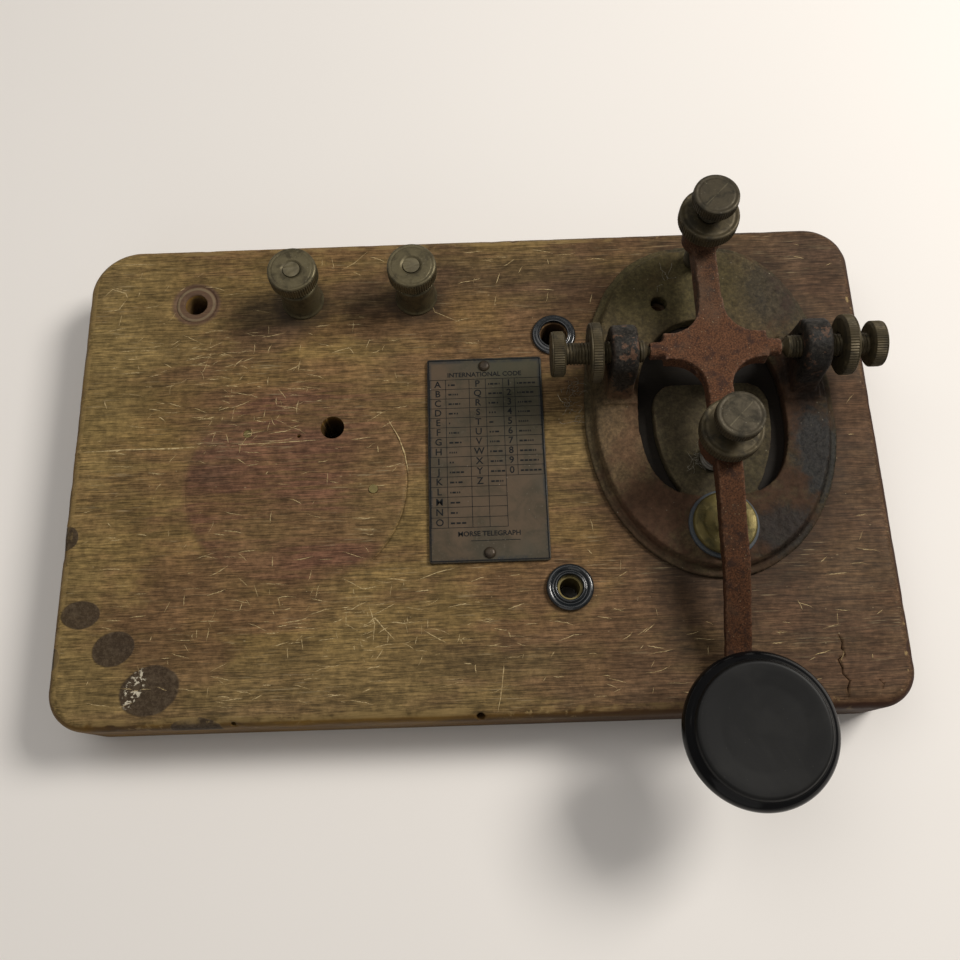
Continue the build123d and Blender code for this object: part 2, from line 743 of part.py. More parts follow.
with BuildPart() as knob_screw:
    with Locations((lever_x, knob_y, eye_top - eye_t)):
        Cylinder(knob_screw_head_r, knob_screw_head_t, align=CENTER_TOP)
        Cylinder(stud_r, eye_t + knob_bore_depth - 0.5, align=CENTER_LOW)
    with Locations((lever_x, knob_y, eye_top - eye_t - knob_screw_head_t)):
        Box(2.2 * knob_screw_head_r, 0.9, 0.8, align=CENTER_LOW, mode=Mode.SUBTRACT)
knob_screw.part.label = "knob_screw"

# ======== return spring, closed coils at both ends ========
spring_low = tongue_top - spring_seat_depth
spring_len = spring_shoulder_z - spring_low
coil_turns = 6
with BuildPart() as lever_spring:
    with BuildLine(up(lever_x, tension_y, spring_low + wire_r)):
        path = Helix(
            pitch=(spring_len - 2 * wire_r) / coil_turns,
            height=spring_len - 2 * wire_r,
            radius=coil_r,
        )
    with BuildSketch(Plane(origin=path @ 0, z_dir=path % 0)):
        Circle(wire_r)
    sweep(path=path, is_frenet=True)
lever_spring.part.label = "lever_spring"

# ======== gap screw and its lock nut ========
gap_nut_low = rear_boss_top + seat_gap
gap_head_low = gap_nut_low + nut_t + screw_gap
with BuildPart() as gap_screw:
    knurled_disc(up(lever_x, gap_screw_y, gap_head_low), head_r, head_t, 44)
    gap_screw_reach = gap_head_low - plate_top - seat_gap
    bevelled_rod(down(lever_x, gap_screw_y, gap_head_low), thread_r, gap_screw_reach, 1.0)
gap_screw.part.label = "gap_screw"

with BuildPart() as gap_nut:
    knurled_disc(up(lever_x, gap_screw_y, gap_nut_low), nut_r, nut_t, 56)
    with Locations((lever_x, gap_screw_y, gap_nut_low)):
        Cylinder(thread_r + thread_clear, nut_t, align=CENTER_LOW, mode=Mode.SUBTRACT)
gap_nut.part.label = "gap_nut"

# ======== spring tension screw and its lock nut ========
tension_nut_low = tension_boss_top + seat_gap
tension_head_low = tension_nut_low + nut_t + screw_gap
with BuildPart() as tension_screw:
    knurled_disc(up(lever_x, tension_y, tension_head_low), head_r, head_t, 44)
    with Locations((lever_x, tension_y, tension_head_low)):
        Cylinder(thread_r, tension_head_low - spring_shoulder_z, align=CENTER_TOP)
    bevelled_rod(down(lever_x, tension_y, spring_shoulder_z), pilot_r, 6.0, 0.5)
tension_screw.part.label = "tension_screw"

with BuildPart() as tension_nut:
    knurled_disc(up(lever_x, tension_y, tension_nut_low), nut_r, nut_t, 56)
    with Locations((lever_x, tension_y, tension_nut_low)):
        Cylinder(thread_r + thread_clear, nut_t, align=CENTER_LOW, mode=Mode.SUBTRACT)
tension_nut.part.label = "tension_nut"

# ======== trunnion screws: knurled head, threaded shank, cone and pivot pin ========
cone_len = 1.0
cone_gap = 0.4
pin_end_gap = 0.4


def trunnion(head_x, stub_face_x, sign):
    knurled_disc(along_x(head_x, -sign), head_r, head_t, 44)
    cone_end = stub_face_x - sign * cone_gap
    shank = abs(cone_end - head_x) - cone_len
    with Locations(along_x(head_x, sign)):
        Cylinder(thread_r, shank, align=CENTER_LOW)
    with Locations(along_x(head_x + sign * shank, sign)):
        Cone(thread_r, tip_r, cone_len, align=CENTER_LOW)
    with Locations(along_x(cone_end, sign)):
        Cylinder(tip_r, cone_gap + tip_len - pin_end_gap, align=CENTER_LOW)


with BuildPart() as trunnion_screw_left:
    trunnion(left_head_x, stub_left_x, 1)
trunnion_screw_left.part.label = "trunnion_screw_left"

with BuildPart() as trunnion_screw_right:
    trunnion(right_head_x, stub_right_x, -1)
trunnion_screw_right.part.label = "trunnion_screw_right"

with BuildPart() as trunnion_nut_left:
    knurled_disc(along_x(left_nut_x, 1), nut_r, post_nut_t, 56)
    with Locations(along_x(left_nut_x, 1)):
        Cylinder(thread_r + thread_clear, post_nut_t, align=CENTER_LOW, mode=Mode.SUBTRACT)
trunnion_nut_left.part.label = "trunnion_nut_left"

with BuildPart() as trunnion_nut_right:
    knurled_disc(along_x(right_nut_x, 1), nut_r, post_nut_t, 56)
    with Locations(along_x(right_nut_x, 1)):
        Cylinder(thread_r + thread_clear, post_nut_t, align=CENTER_LOW, mode=Mode.SUBTRACT)
trunnion_nut_right.part.label = "trunnion_nut_right"

# ======== save every piece ========
pieces = [
    wooden_board,
    key_base,
    contact_stud,
    contact_washer,
    contact_sleeve,
    contact_under_washer,
    contact_nut,
    base_screw,
    strap_contact,
    strap_base,
    terminal_body_left,
    terminal_body_right,
    terminal_screw_left,
    terminal_screw_right,
    terminal_nut_left,
    terminal_nut_right,
    code_plate,
    plate_pins,
    jack_bushing,
    jack_sleeve,
    board_washer,
    screw_remnants,
    lever,
    lever_contact,
    knob,
    knob_screw,
    lever_spring,
    gap_screw,
    gap_nut,
    tension_screw,
    tension_nut,
    trunnion_screw_left,
    trunnion_screw_right,
    trunnion_nut_left,
    trunnion_nut_right,
]
for piece in pieces:
    export_step(piece.part, f"parts/{piece.part.label}.step")
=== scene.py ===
import json
import math
import random

import bmesh
import bpy
from mathutils import Matrix, Vector, noise


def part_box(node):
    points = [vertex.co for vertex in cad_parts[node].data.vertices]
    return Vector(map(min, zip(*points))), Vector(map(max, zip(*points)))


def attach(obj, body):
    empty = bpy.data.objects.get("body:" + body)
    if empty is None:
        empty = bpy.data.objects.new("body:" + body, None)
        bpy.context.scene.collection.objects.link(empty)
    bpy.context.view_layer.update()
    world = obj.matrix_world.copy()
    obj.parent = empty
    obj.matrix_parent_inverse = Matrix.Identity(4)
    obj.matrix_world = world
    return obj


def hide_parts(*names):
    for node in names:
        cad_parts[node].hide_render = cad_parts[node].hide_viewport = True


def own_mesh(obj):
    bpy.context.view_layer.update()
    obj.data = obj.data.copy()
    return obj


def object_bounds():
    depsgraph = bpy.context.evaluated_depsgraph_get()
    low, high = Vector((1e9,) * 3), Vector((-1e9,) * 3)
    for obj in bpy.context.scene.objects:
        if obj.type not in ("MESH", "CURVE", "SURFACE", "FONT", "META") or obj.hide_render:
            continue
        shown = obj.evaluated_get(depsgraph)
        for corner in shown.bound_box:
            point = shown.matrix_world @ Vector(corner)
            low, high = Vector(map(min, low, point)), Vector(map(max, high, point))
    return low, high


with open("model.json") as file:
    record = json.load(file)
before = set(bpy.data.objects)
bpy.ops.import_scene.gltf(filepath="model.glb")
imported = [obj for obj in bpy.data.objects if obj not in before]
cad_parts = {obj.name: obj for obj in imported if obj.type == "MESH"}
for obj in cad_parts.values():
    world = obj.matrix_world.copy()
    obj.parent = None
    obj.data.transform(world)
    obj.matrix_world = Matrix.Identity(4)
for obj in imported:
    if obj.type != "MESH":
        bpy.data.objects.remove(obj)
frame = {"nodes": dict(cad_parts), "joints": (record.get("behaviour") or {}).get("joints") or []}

# The model's own frame: metres, origin at the centre of the board's underside, +Y to the rear, +Z up.
MM = 0.001
NODES = frame["nodes"]
cad_low, cad_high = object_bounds()
random.seed(7)

# ---------------------------------------------------------------- sizes read from the frame
board_low, board_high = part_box("wooden_board")
BOARD_TOP = board_high.z
plate_low, plate_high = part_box("code_plate")
PIVOT_Y = frame["joints"][0]["pos_m"][1]
PIVOT_Z = frame["joints"][0]["pos_m"][2]
BOARD_W = (board_high.x - board_low.x) / MM
BOARD_D = (board_high.y - board_low.y) / MM
BOARD_T = BOARD_TOP / MM

# ---------------------------------------------------------------- other sizes and places, in millimetres
HEAD_R = 5.5
HEAD_T = 3.5
HEAD_TEETH = 58
NUT_R = 7.3
NUT_BORE = 2.85
NUT_TEETH = 68
KNURL = 0.16
POST_TEETH = 62
POST_KNURL = 0.22
PILOT_R = 1.85
# middles of the base, the empty post hole and the buzzer's mark: x, y
BASE = (59.7, 11.0)
POST_HOLE = (-72.4, 46.1)
BUZZER = (-44.4, -5.0)
# burns: x, y, half-width, half-depth and turn in degrees
BURNS = ((-95.1, -36.2, 4.7, 3.4, 0), (-86.4, -44.6, 5.1, 4.1, 20), (-77.0, -54.6, 7.1, 5.7, 20))
EDGE_BURNS = ((-100.4, -17.0, 3.0, 3.0, 0), (-101.0, -46.5, 2.0, 2.6, 0), (-66.0, -63.4, 6.0, 2.4, 0))
SUNK_BURNS = (*BURNS, (-100.0, -17.0, 3.6, 3.4, 0))


def middle(node):
    """Centre of a CAD node's box."""
    low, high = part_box(node)
    return (low + high) / 2


# ---------------------------------------------------------------- node-based materials
class Surface:
    """A Principled material whose colour, roughness and bump are built by short calls."""

    def __init__(self, name, metallic=0.0, specular=0.5, coat=0.0, coat_roughness=0.2):
        self.material = bpy.data.materials.new(name)
        self.material.use_nodes = True
        self.nodes = self.material.node_tree.nodes
        self.links = self.material.node_tree.links
        self.shader = self.nodes["Principled BSDF"]
        self.shader.inputs["Metallic"].default_value = metallic
        self.shader.inputs["Specular IOR Level"].default_value = specular
        self.shader.inputs["Coat Weight"].default_value = coat
        self.shader.inputs["Coat Roughness"].default_value = coat_roughness
        self.place = self.add("TexCoord")["Object"]

    def feed(self, socket, value):
        """Links an output to a socket, or sets a plain number or colour on it."""
        if isinstance(value, bpy.types.NodeSocket):
            self.links.new(value, socket)
        elif isinstance(value, (tuple, list)) and len(value) == 3 and socket.type == "RGBA":
            socket.default_value = (*value, 1.0)
        else:
            socket.default_value = value

    def add(self, kind, *inputs, **settings):
        """Outputs of a new shader node. Inputs are (socket, value) pairs."""
        node = self.nodes.new("ShaderNode" + kind)
        for name, value in settings.items():
            setattr(node, name, value)
        for socket, value in inputs:
            self.feed(node.inputs[socket], value)
        return node.outputs

    def stretch(self, scale, turn=(0, 0, 0), shift=(0, 0, 0)):
        """Object coordinates, scaled, turned (degrees) and shifted."""
        turn = [math.radians(t) for t in turn]
        inputs = ("Vector", self.place), ("Scale", scale), ("Rotation", turn), ("Location", shift)
        return self.add("Mapping", *inputs)["Vector"]

    def noise(self, scale, detail=4.0, rough=0.55, distort=0.0, at=None):
        inputs = ("Vector", at or self.place), ("Scale", scale), ("Detail", detail), ("Roughness", rough)
        return self.add("TexNoise", *inputs, ("Distortion", distort))["Fac"]

    def cells(self, scale, at=None, feature="F1"):
        inputs = ("Vector", at or self.place), ("Scale", scale), ("Randomness", 1.0)
        return self.add("TexVoronoi", *inputs, feature=feature)["Distance"]

    def ramp(self, value, low, high, out_low=0.0, out_high=1.0):
        """Smooth step from low to high."""
        span = ("From Min", low), ("From Max", high), ("To Min", out_low), ("To Max", out_high)
        return self.add("MapRange", ("Value", value), *span, interpolation_type="SMOOTHSTEP")["Result"]

    def sum(self, a, b, how="ADD"):
        return self.add("Math", (0, a), (1, b), operation=how)["Value"]

    def mul(self, a, b):
        return self.sum(a, b, "MULTIPLY")

    def most(self, a, b):
        return self.sum(a, b, "MAXIMUM")

    def sway(self, value, amount):
        """A noise centred on zero, times an amount."""
        return self.mul(self.sum(value, -0.5), amount)

    def mix(self, a, b, amount, how="MIX"):
        """Colour a goes to colour b by amount."""
        return self.add("Mix", ("Factor", amount), (6, a), (7, b), data_type="RGBA", blend_type=how)[2]

    def layer(self, paint, mask, amount=None):
        """Lays paint over the surface's colour where the mask is high."""
        self.colour = self.mix(self.colour, paint, mask if amount is None else self.mul(mask, amount))

    def shade(self, value):
        """Multiplies the surface's colour."""
        self.colour = self.mix(self.colour, value, 1.0, "MULTIPLY")

    def axis(self, letter):
        """One object coordinate, in metres."""
        return self.add("SeparateXYZ", ("Vector", self.place))[letter]

    def edges(self, low=0.5, high=0.56):
        """High on convex edges."""
        return self.ramp(self.add("NewGeometry")["Pointiness"], low, high)

    def blob(self, x, y, half_x, half_y, soft=0.25, turn=0.0, wobble=None):
        """A soft-edged ellipse on the board, sizes in millimetres: 1 inside, 0 outside."""
        centre = (x * MM, y * MM, BOARD_TOP)
        offset = self.add("VectorMath", (0, self.place), (1, centre), operation="SUBTRACT")["Vector"]
        inputs = ("Rotation", (0, 0, math.radians(turn))), ("Scale", (half_x * MM, half_y * MM, 1.0))
        offset = self.add("Mapping", ("Vector", offset), *inputs, vector_type="TEXTURE")["Vector"]
        reach = self.add("VectorMath", (0, offset), operation="LENGTH")["Value"]
        if wobble is not None:
            reach = self.sum(reach, wobble)
        return self.ramp(reach, 1.0 + soft, 1.0 - soft)

    def inside(self, half_x, half_y):
        """1 inside a rectangle round the board's middle, sizes in millimetres."""
        near_x = self.ramp(self.sum(self.axis("X"), 0.0, "ABSOLUTE"), half_x * MM, (half_x - 0.5) * MM)
        near_y = self.ramp(self.sum(self.axis("Y"), 0.0, "ABSOLUTE"), half_y * MM, (half_y - 0.5) * MM)
        return self.mul(near_x, near_y)

    def bump(self, height, distance, strength=1.0, under=None):
        """A bump map of that distance in millimetres, over an earlier bump."""
        inputs = [("Distance", distance * MM), ("Strength", strength), ("Height", height)]
        if under is not None:
            inputs.append(("Normal", under))
        return self.add("Bump", *inputs)["Normal"]

    def finish(self, roughness, normal=None):
        """The material, with its colour so far, a roughness and a bump."""
        self.feed(self.shader.inputs["Base Color"], self.colour)
        self.feed(self.shader.inputs["Roughness"], roughness)
        if normal is not None:
            self.links.new(normal, self.shader.inputs["Normal"])
        return self.material


def paint(obj, material):
    obj.data.materials.clear()
    obj.data.materials.append(material)


def wood_material():
    s = Surface("worn_varnished_wood", specular=0.09)
    drift = s.noise(14, 3, 0.5, at=s.stretch((0.5, 1, 1)))
    pores = s.noise(3500, 5, 0.66, 0.35, at=s.stretch((0.060, 1, 1), turn=(0, 0, -1.0)))
    grain = s.noise(900, 5, 0.64, 0.6, at=s.stretch((0.085, 1, 1), turn=(0, 0, -1.5)))
    band = s.noise(170, 4, 0.55, 0.6, at=s.stretch((0.07, 1, 1), turn=(0, 0, -2.0)))
    patch = s.noise(38, 5, 0.62, 0.3, at=s.stretch((0.6, 1, 1)))
    grit = s.noise(620, 5, 0.72)
    x = s.axis("X")
    y = s.axis("Y")
    z = s.axis("Z")

    olive = (0.158, 0.104, 0.040)
    brown = (0.134, 0.077, 0.036)
    golden = (0.225, 0.145, 0.045)
    purple = (0.118, 0.056, 0.034)
    red_brown = (0.072, 0.040, 0.024)
    dark = (0.030, 0.021, 0.015)
    straw = (0.36, 0.28, 0.16)

    s.colour = s.mix(olive, brown, s.ramp(s.sum(patch, s.sway(band, 0.5)), 0.42, 0.60))
    tint = s.noise(24, 4, 0.6, 0.4, at=s.stretch((0.8, 1, 1), shift=(1.7, 0, 0)))
    s.layer(golden, s.ramp(tint, 0.50, 0.68), 0.38)
    # the right half is redder, and darker as painted shade where the light falls off
    rightward = s.ramp(s.sum(x, s.sway(patch, 0.08)), 0.000, 0.080)
    s.layer(red_brown, rightward, 0.82)
    # gold tint along the left end and the front left edge, lighter there as painted light
    leftward = s.ramp(s.sum(x, s.sway(patch, 0.05)), -0.078, -0.101)
    s.layer((0.205, 0.145, 0.055), leftward, 0.55)
    frontward = s.ramp(s.sum(y, s.sway(drift, 0.03)), -0.040, -0.062)
    s.layer((0.150, 0.105, 0.045), s.mul(frontward, s.ramp(x, 0.05, -0.02)), 0.5)
    # redder field where the buzzer stood
    ragged = s.sway(patch, 0.5)
    field = s.blob(*BUZZER, 27.8, 25.6, 0.05, wobble=s.sway(drift, 0.03))
    upper = s.blob(-42.0, 6.0, 28.0, 19.0, 0.35, wobble=ragged)
    streaks = s.ramp(s.sum(band, s.sway(grain, 0.8)), 0.38, 0.60, 0.50, 1.0)
    s.layer(purple, s.mul(s.most(s.mul(field, 0.9), s.mul(upper, 0.75)), streaks))
    # dark smudges
    smudge = s.ramp(s.noise(26, 5, 0.65, 0.4, at=s.stretch((0.7, 1, 1), shift=(3.1, 0.4, 0))), 0.54, 0.74)
    s.layer((0.068, 0.046, 0.030), smudge, 0.50)
    for spot_x, spot_y, wide, deep, much in (
        (-28, 47, 9, 6, 0.60),
        (-2, 52, 14, 7, 0.60),
        (-53, 42, 10, 7, 0.50),
        (22, 50, 12, 9, 0.45),
        (8, -50, 16, 5, 0.40),
        (92, 56, 12, 8, 0.35),
        (-30, -39, 8, 9, -0.40),
        (-55, -22, 9, 10, -0.20),
        (-23, -5, 8, 15, -0.35),
        (21, 6, 8, 12, -0.40),
    ):
        shade = s.blob(spot_x, spot_y, wide, deep, 0.7, wobble=ragged)
        stain = (0.045, 0.029, 0.021) if much > 0 else (0.215, 0.150, 0.055)
        s.layer(stain, s.mul(shade, abs(much)))
    # fine grain: dark pores and pale fibres
    shade = s.mul(s.ramp(pores, 0.34, 0.66, 0.56, 1.46), s.ramp(grain, 0.36, 0.64, 0.87, 1.13))
    shade = s.mul(shade, s.ramp(band, 0.35, 0.65, 0.94, 1.07))
    shade = s.mul(shade, s.ramp(grit, 0.34, 0.68, 0.78, 1.24))
    shade = s.mul(shade, s.ramp(s.noise(110, 5, 0.65, 0.5), 0.34, 0.68, 0.84, 1.16))
    s.shade(shade)
    # painted shadows round the binding posts, the key base and beside the knob, black inside the casting's
    # window
    for spot_x, spot_y, wide, deep, much, soft in (
        (-43.9, 44.5, 8, 7, 0.65, 0.3),
        (-13.9, 44.5, 8, 7, 0.65, 0.3),
        (61.6, 11.0, 32.6, 50, 0.50, 0.10),
        (47.5, -36.0, 6, 14, 0.45, 0.5),
    ):
        spot = s.blob(spot_x, spot_y, wide, deep, soft, wobble=s.sway(patch, 0.3))
        s.layer(dark, s.mul(spot, much))
    dusty = s.noise(2600, 4, 0.62, 0.3, at=s.stretch((0.045, 1, 1), turn=(0, 0, -0.6), shift=(0, 0.3, 0)))
    raw = s.mul(s.ramp(dusty, 0.585, 0.70), s.ramp(s.noise(60, 4, 0.6), 0.42, 0.62))
    s.layer(straw, raw, 0.55)
    # burns at the left
    burnt = None
    fray = s.sway(s.noise(160, 3), 0.16)
    for x_mm, y_mm, wide, deep, turn in BURNS + EDGE_BURNS:
        one = s.blob(x_mm, y_mm, wide, deep, 0.05, turn, wobble=fray)
        burnt = one if burnt is None else s.most(burnt, one)
    # burns run over the edge but not down the side
    burnt = s.mul(burnt, s.ramp(s.sum(z, s.sway(patch, 0.008)), BOARD_TOP - 0.0065, BOARD_TOP - 0.0035))
    char = s.mix((0.038, 0.026, 0.017), (0.080, 0.058, 0.038), s.ramp(s.noise(1300, 4, 0.7), 0.40, 0.70))
    char = s.mix(char, (0.115, 0.086, 0.056), s.mul(s.ramp(s.noise(220, 4, 0.6), 0.52, 0.68), 0.5))
    s.layer(char, burnt, 0.92)
    # painted highlight: flaked varnish on the largest burn, painted pale where it catches the light
    flake_glint = s.blob(-80.6, -54.0, 1.9, 4.6, 0.2, -20, wobble=fray)
    flake_glint = s.mul(flake_glint, s.ramp(s.noise(900, 3, 0.6), 0.53, 0.58))
    s.layer((0.52, 0.47, 0.36), flake_glint)
    # red-brown mark round the hole of the missing binding post
    halo = s.blob(*POST_HOLE, 6.4, 6.1, 0.10)
    s.layer((0.098, 0.056, 0.042), halo, 0.75)
    ring = s.mul(s.blob(*POST_HOLE, 5.1, 5.0, 0.03), s.ramp(s.blob(*POST_HOLE, 4.4, 4.3, 0.04), 1.0, 0.0))
    s.layer((0.225, 0.175, 0.105), ring, 0.55)
    # nicks and paint specks
    nicks = s.ramp(s.cells(300, at=s.stretch((0.7, 1.3, 1), turn=(0, 0, 20))), 0.075, 0.045)
    nicks = s.mul(nicks, s.ramp(s.noise(48, 3, 0.6, at=s.stretch((1, 1, 1), shift=(0, 9, 0))), 0.50, 0.60))
    specks = s.mul(s.ramp(s.cells(380), 0.06, 0.035), s.ramp(s.noise(35, 2), 0.52, 0.6))
    wear = s.most(s.mul(nicks, 0.5), s.mul(specks, 0.65))
    s.layer(straw, s.mul(wear, s.ramp(burnt, 1.0, 0.3)))
    # painted shade: black on the wood inside the casting's window
    s.layer((0.012, 0.010, 0.008), s.blob(59.7, 9.0, 22, 32, 0.10), 0.94)
    # rubbed edges: amber at the front, dark red at the right end
    border = s.ramp(s.inside(BOARD_W / 2 - 2.4, BOARD_D / 2 - 2.4), 1.0, 0.0)
    rim = s.mul(s.ramp(z, BOARD_TOP - 0.0003, BOARD_TOP - 0.0009), s.ramp(burnt, 0.6, 0.0))
    streak = s.ramp(s.noise(330, 4, 0.6, at=s.stretch((0.16, 0.3, 1))), 0.40, 0.66)
    amber = s.mix((0.096, 0.048, 0.008), (0.190, 0.104, 0.018), streak)
    edge_colour = s.mix(amber, (0.034, 0.014, 0.008), s.ramp(x, -0.050, 0.075))
    murk = s.ramp(s.noise(70, 5, 0.65, at=s.stretch((0.35, 0.5, 1))), 0.48, 0.66)
    edge_colour = s.mix(edge_colour, (0.046, 0.026, 0.013), s.mul(murk, 0.8))
    s.layer(edge_colour, rim, 0.92)
    scuffs = s.mul(s.ramp(s.noise(420, 4, 0.65), 0.56, 0.68), s.ramp(s.noise(90, 3), 0.48, 0.6))
    scuffs = s.mul(scuffs, s.ramp(z, BOARD_TOP - 0.012, BOARD_TOP - 0.002, 0.25, 1.0))
    lip = s.mul(s.ramp(z, BOARD_TOP - 0.0010, BOARD_TOP - 0.0005), border)
    s.layer((0.34, 0.24, 0.105), s.mul(scuffs, s.most(lip, s.mul(rim, 0.5))), 0.8)
    worn_lip = s.mul(lip, s.ramp(s.noise(140, 4, 0.6), 0.40, 0.56))
    s.layer((0.27, 0.185, 0.075), s.mul(worn_lip, s.ramp(x, 0.075, 0.02)), 0.55)
    # bare underside
    under = s.ramp(z, 0.0012, 0.0003)
    s.layer(s.mix((0.20, 0.14, 0.08), (0.12, 0.08, 0.045), s.ramp(grain, 0.4, 0.6)), under)
    # painted shade: the walls of holes and cracks are darkened
    wall = s.ramp(z, BOARD_TOP - 0.0004, BOARD_TOP - 0.0025)
    wall = s.mul(wall, s.inside(BOARD_W / 2 - 4.6, BOARD_D / 2 - 4.6))
    s.layer((0.060, 0.038, 0.020), wall, 0.7)

    rough = s.ramp(s.sum(patch, s.mul(grain, 0.35)), 0.45, 0.95, 0.44, 0.68)
    rough = s.mix(rough, (0.62, 0.62, 0.62), burnt)
    normal = s.bump(pores, 0.07, 0.6)
    normal = s.bump(grain, 0.10, 0.4, under=normal)
    normal = s.bump(wear, 0.10, -0.6, under=normal)
    normal = s.bump(s.noise(45, 3, 0.5), 0.5, 0.35, under=normal)
    normal = s.bump(s.mul(burnt, s.noise(1300, 4, 0.7)), 0.25, 0.8, under=normal)
    return s.finish(rough, normal)


def rust_material():
    s = Surface("rusted_steel", specular=0.12)
    fine = s.noise(2600, 5, 0.72)
    coarse = s.noise(420, 5, 0.62, 0.3)
    broad = s.noise(60, 4, 0.6)
    s.colour = s.mix((0.040, 0.019, 0.011), (0.158, 0.070, 0.036), s.ramp(fine, 0.34, 0.68))
    s.layer((0.036, 0.020, 0.016), s.ramp(coarse, 0.50, 0.66), 0.80)
    s.layer((0.105, 0.068, 0.045), s.ramp(broad, 0.52, 0.72), 0.5)
    dots = s.ramp(s.cells(1300), 0.16, 0.08)
    s.layer((0.24, 0.135, 0.080), s.mul(dots, s.ramp(coarse, 0.48, 0.6)), 0.7)
    grit = s.ramp(s.cells(900, at=s.stretch((1, 1, 1), shift=(0, 5, 0))), 0.13, 0.08)
    grit = s.mul(grit, s.ramp(broad, 0.40, 0.55))
    s.layer((0.30, 0.235, 0.150), grit, 0.75)
    worn = s.mul(s.edges(0.505, 0.56), s.ramp(s.noise(900, 3), 0.42, 0.6))
    s.layer((0.235, 0.135, 0.092), worn, 0.6)
    # painted shade: the front half is darker and browner, where the light falls off
    s.layer(s.mix(s.colour, (0.62, 0.58, 0.52), 1.0, "MULTIPLY"), s.ramp(s.axis("Y"), 0.000, -0.022))
    s.layer(s.mix(s.colour, (0.86, 0.95, 1.0), 1.0, "MULTIPLY"), s.ramp(s.axis("Y"), 0.026, 0.036))
    normal = s.bump(fine, 0.16, 1.0)
    normal = s.bump(coarse, 0.30, 0.6, under=normal)
    return s.finish(s.ramp(fine, 0.3, 0.7, 0.72, 0.92), normal)


def casting_material():
    s = Surface("old_painted_iron", specular=0.14)
    fine = s.noise(1500, 5, 0.7)
    mid = s.noise(260, 5, 0.62, 0.5)
    broad = s.noise(42, 4, 0.6, 0.3)
    x = s.axis("X")
    y = s.axis("Y")
    z = s.axis("Z")
    dust = s.mix((0.090, 0.066, 0.034), (0.060, 0.046, 0.026), s.ramp(mid, 0.4, 0.66))
    rusty = s.mix((0.088, 0.046, 0.026), (0.052, 0.030, 0.018), s.ramp(fine, 0.4, 0.65))
    rusting = s.sum(s.sum(broad, s.mul(mid, 0.35)), s.ramp(y, 0.030, -0.030, -0.03, 0.10))
    s.colour = s.mix(dust, rusty, s.ramp(rusting, 0.62, 0.80))
    # dusty olive tongue and green-brown grime at the rear left
    tongue = s.ramp(z, BOARD_TOP + 0.0037, BOARD_TOP + 0.0034)
    tongue = s.mul(tongue, s.blob(59.7, 8.0, 17, 27, 0.04))
    s.layer(s.mix((0.075, 0.062, 0.034), (0.052, 0.044, 0.025), s.ramp(mid, 0.4, 0.6)), tongue, 0.85)
    grime = s.blob(50, 46, 20, 14, 0.5, wobble=s.sway(mid, 0.6))
    s.layer((0.066, 0.056, 0.022), grime, 0.65)
    warm = s.blob(37, 3, 6, 12, 0.6, wobble=s.sway(mid, 0.6))
    s.layer((0.125, 0.076, 0.040), warm, 0.55)
    # black paint that is left
    black = s.mix((0.010, 0.0105, 0.0105), (0.027, 0.025, 0.021), s.ramp(fine, 0.42, 0.66))
    ragged = s.mul(s.sum(s.sum(mid, s.mul(fine, 0.4)), -0.7), 1.6)
    left = None
    for spot_x, spot_y, wide, deep, much in (
        (85, -2, 6, 12, 1.0),
        (84, 20, 6, 11, 0.7),
        (80, 42, 9, 10, 0.55),
        (74, -22, 9, 6, 0.8),
        (62, 57, 10, 3, 0.5),
    ):
        one = s.mul(s.blob(spot_x, spot_y, wide, deep, 0.35, wobble=ragged), much)
        left = one if left is None else s.most(left, one)
    # black japan on the posts, rusty towards their feet
    high = s.ramp(s.sum(z, s.sway(mid, 0.014)), BOARD_TOP + 0.0085, BOARD_TOP + 0.0115)
    feet = s.mul(s.ramp(z, BOARD_TOP + 0.0045, BOARD_TOP + 0.0060), s.ramp(fine, 0.36, 0.62))
    s.layer((0.090, 0.046, 0.028), feet, 0.7)
    left = s.most(left, high)
    s.layer(black, left, 0.93)
    # rust where the paint is rubbed off edges
    worn = s.mul(s.edges(0.51, 0.58), s.ramp(mid, 0.42, 0.62))
    s.layer((0.125, 0.068, 0.040), worn, 0.55)
    chips = s.mul(high, s.ramp(s.noise(330, 5, 0.7), 0.57, 0.61))
    s.layer((0.115, 0.062, 0.038), chips, 0.75)
    # dust and grit in the corner with the board
    foot = s.ramp(z, BOARD_TOP + 0.0018, BOARD_TOP + 0.0004)
    s.layer((0.050, 0.043, 0.022), foot, 0.6)
    specks = s.mul(s.ramp(s.cells(420), 0.07, 0.045), s.ramp(s.noise(50, 2), 0.5, 0.6))
    s.layer((0.34, 0.30, 0.22), specks, 0.6)
    # painted shade: the front and right sides are darker, where the light falls off
    shade = s.ramp(s.sum(s.sum(x, s.mul(y, -0.6)), s.sway(broad, 0.02)), 0.045, 0.095, 1.0, 0.62)
    s.shade(shade)
    grain = s.mul(s.ramp(fine, 0.34, 0.66, 0.72, 1.30), s.ramp(s.noise(520, 5, 0.7), 0.34, 0.66, 0.78, 1.24))
    s.shade(grain)
    normal = s.bump(fine, 0.14, 0.9)
    normal = s.bump(mid, 0.45, 0.6, under=normal)
    rough = s.mix(s.ramp(fine, 0.3, 0.7, 0.66, 0.90), (0.46, 0.46, 0.46), s.mul(left, 0.85))
    return s.finish(rough, normal)


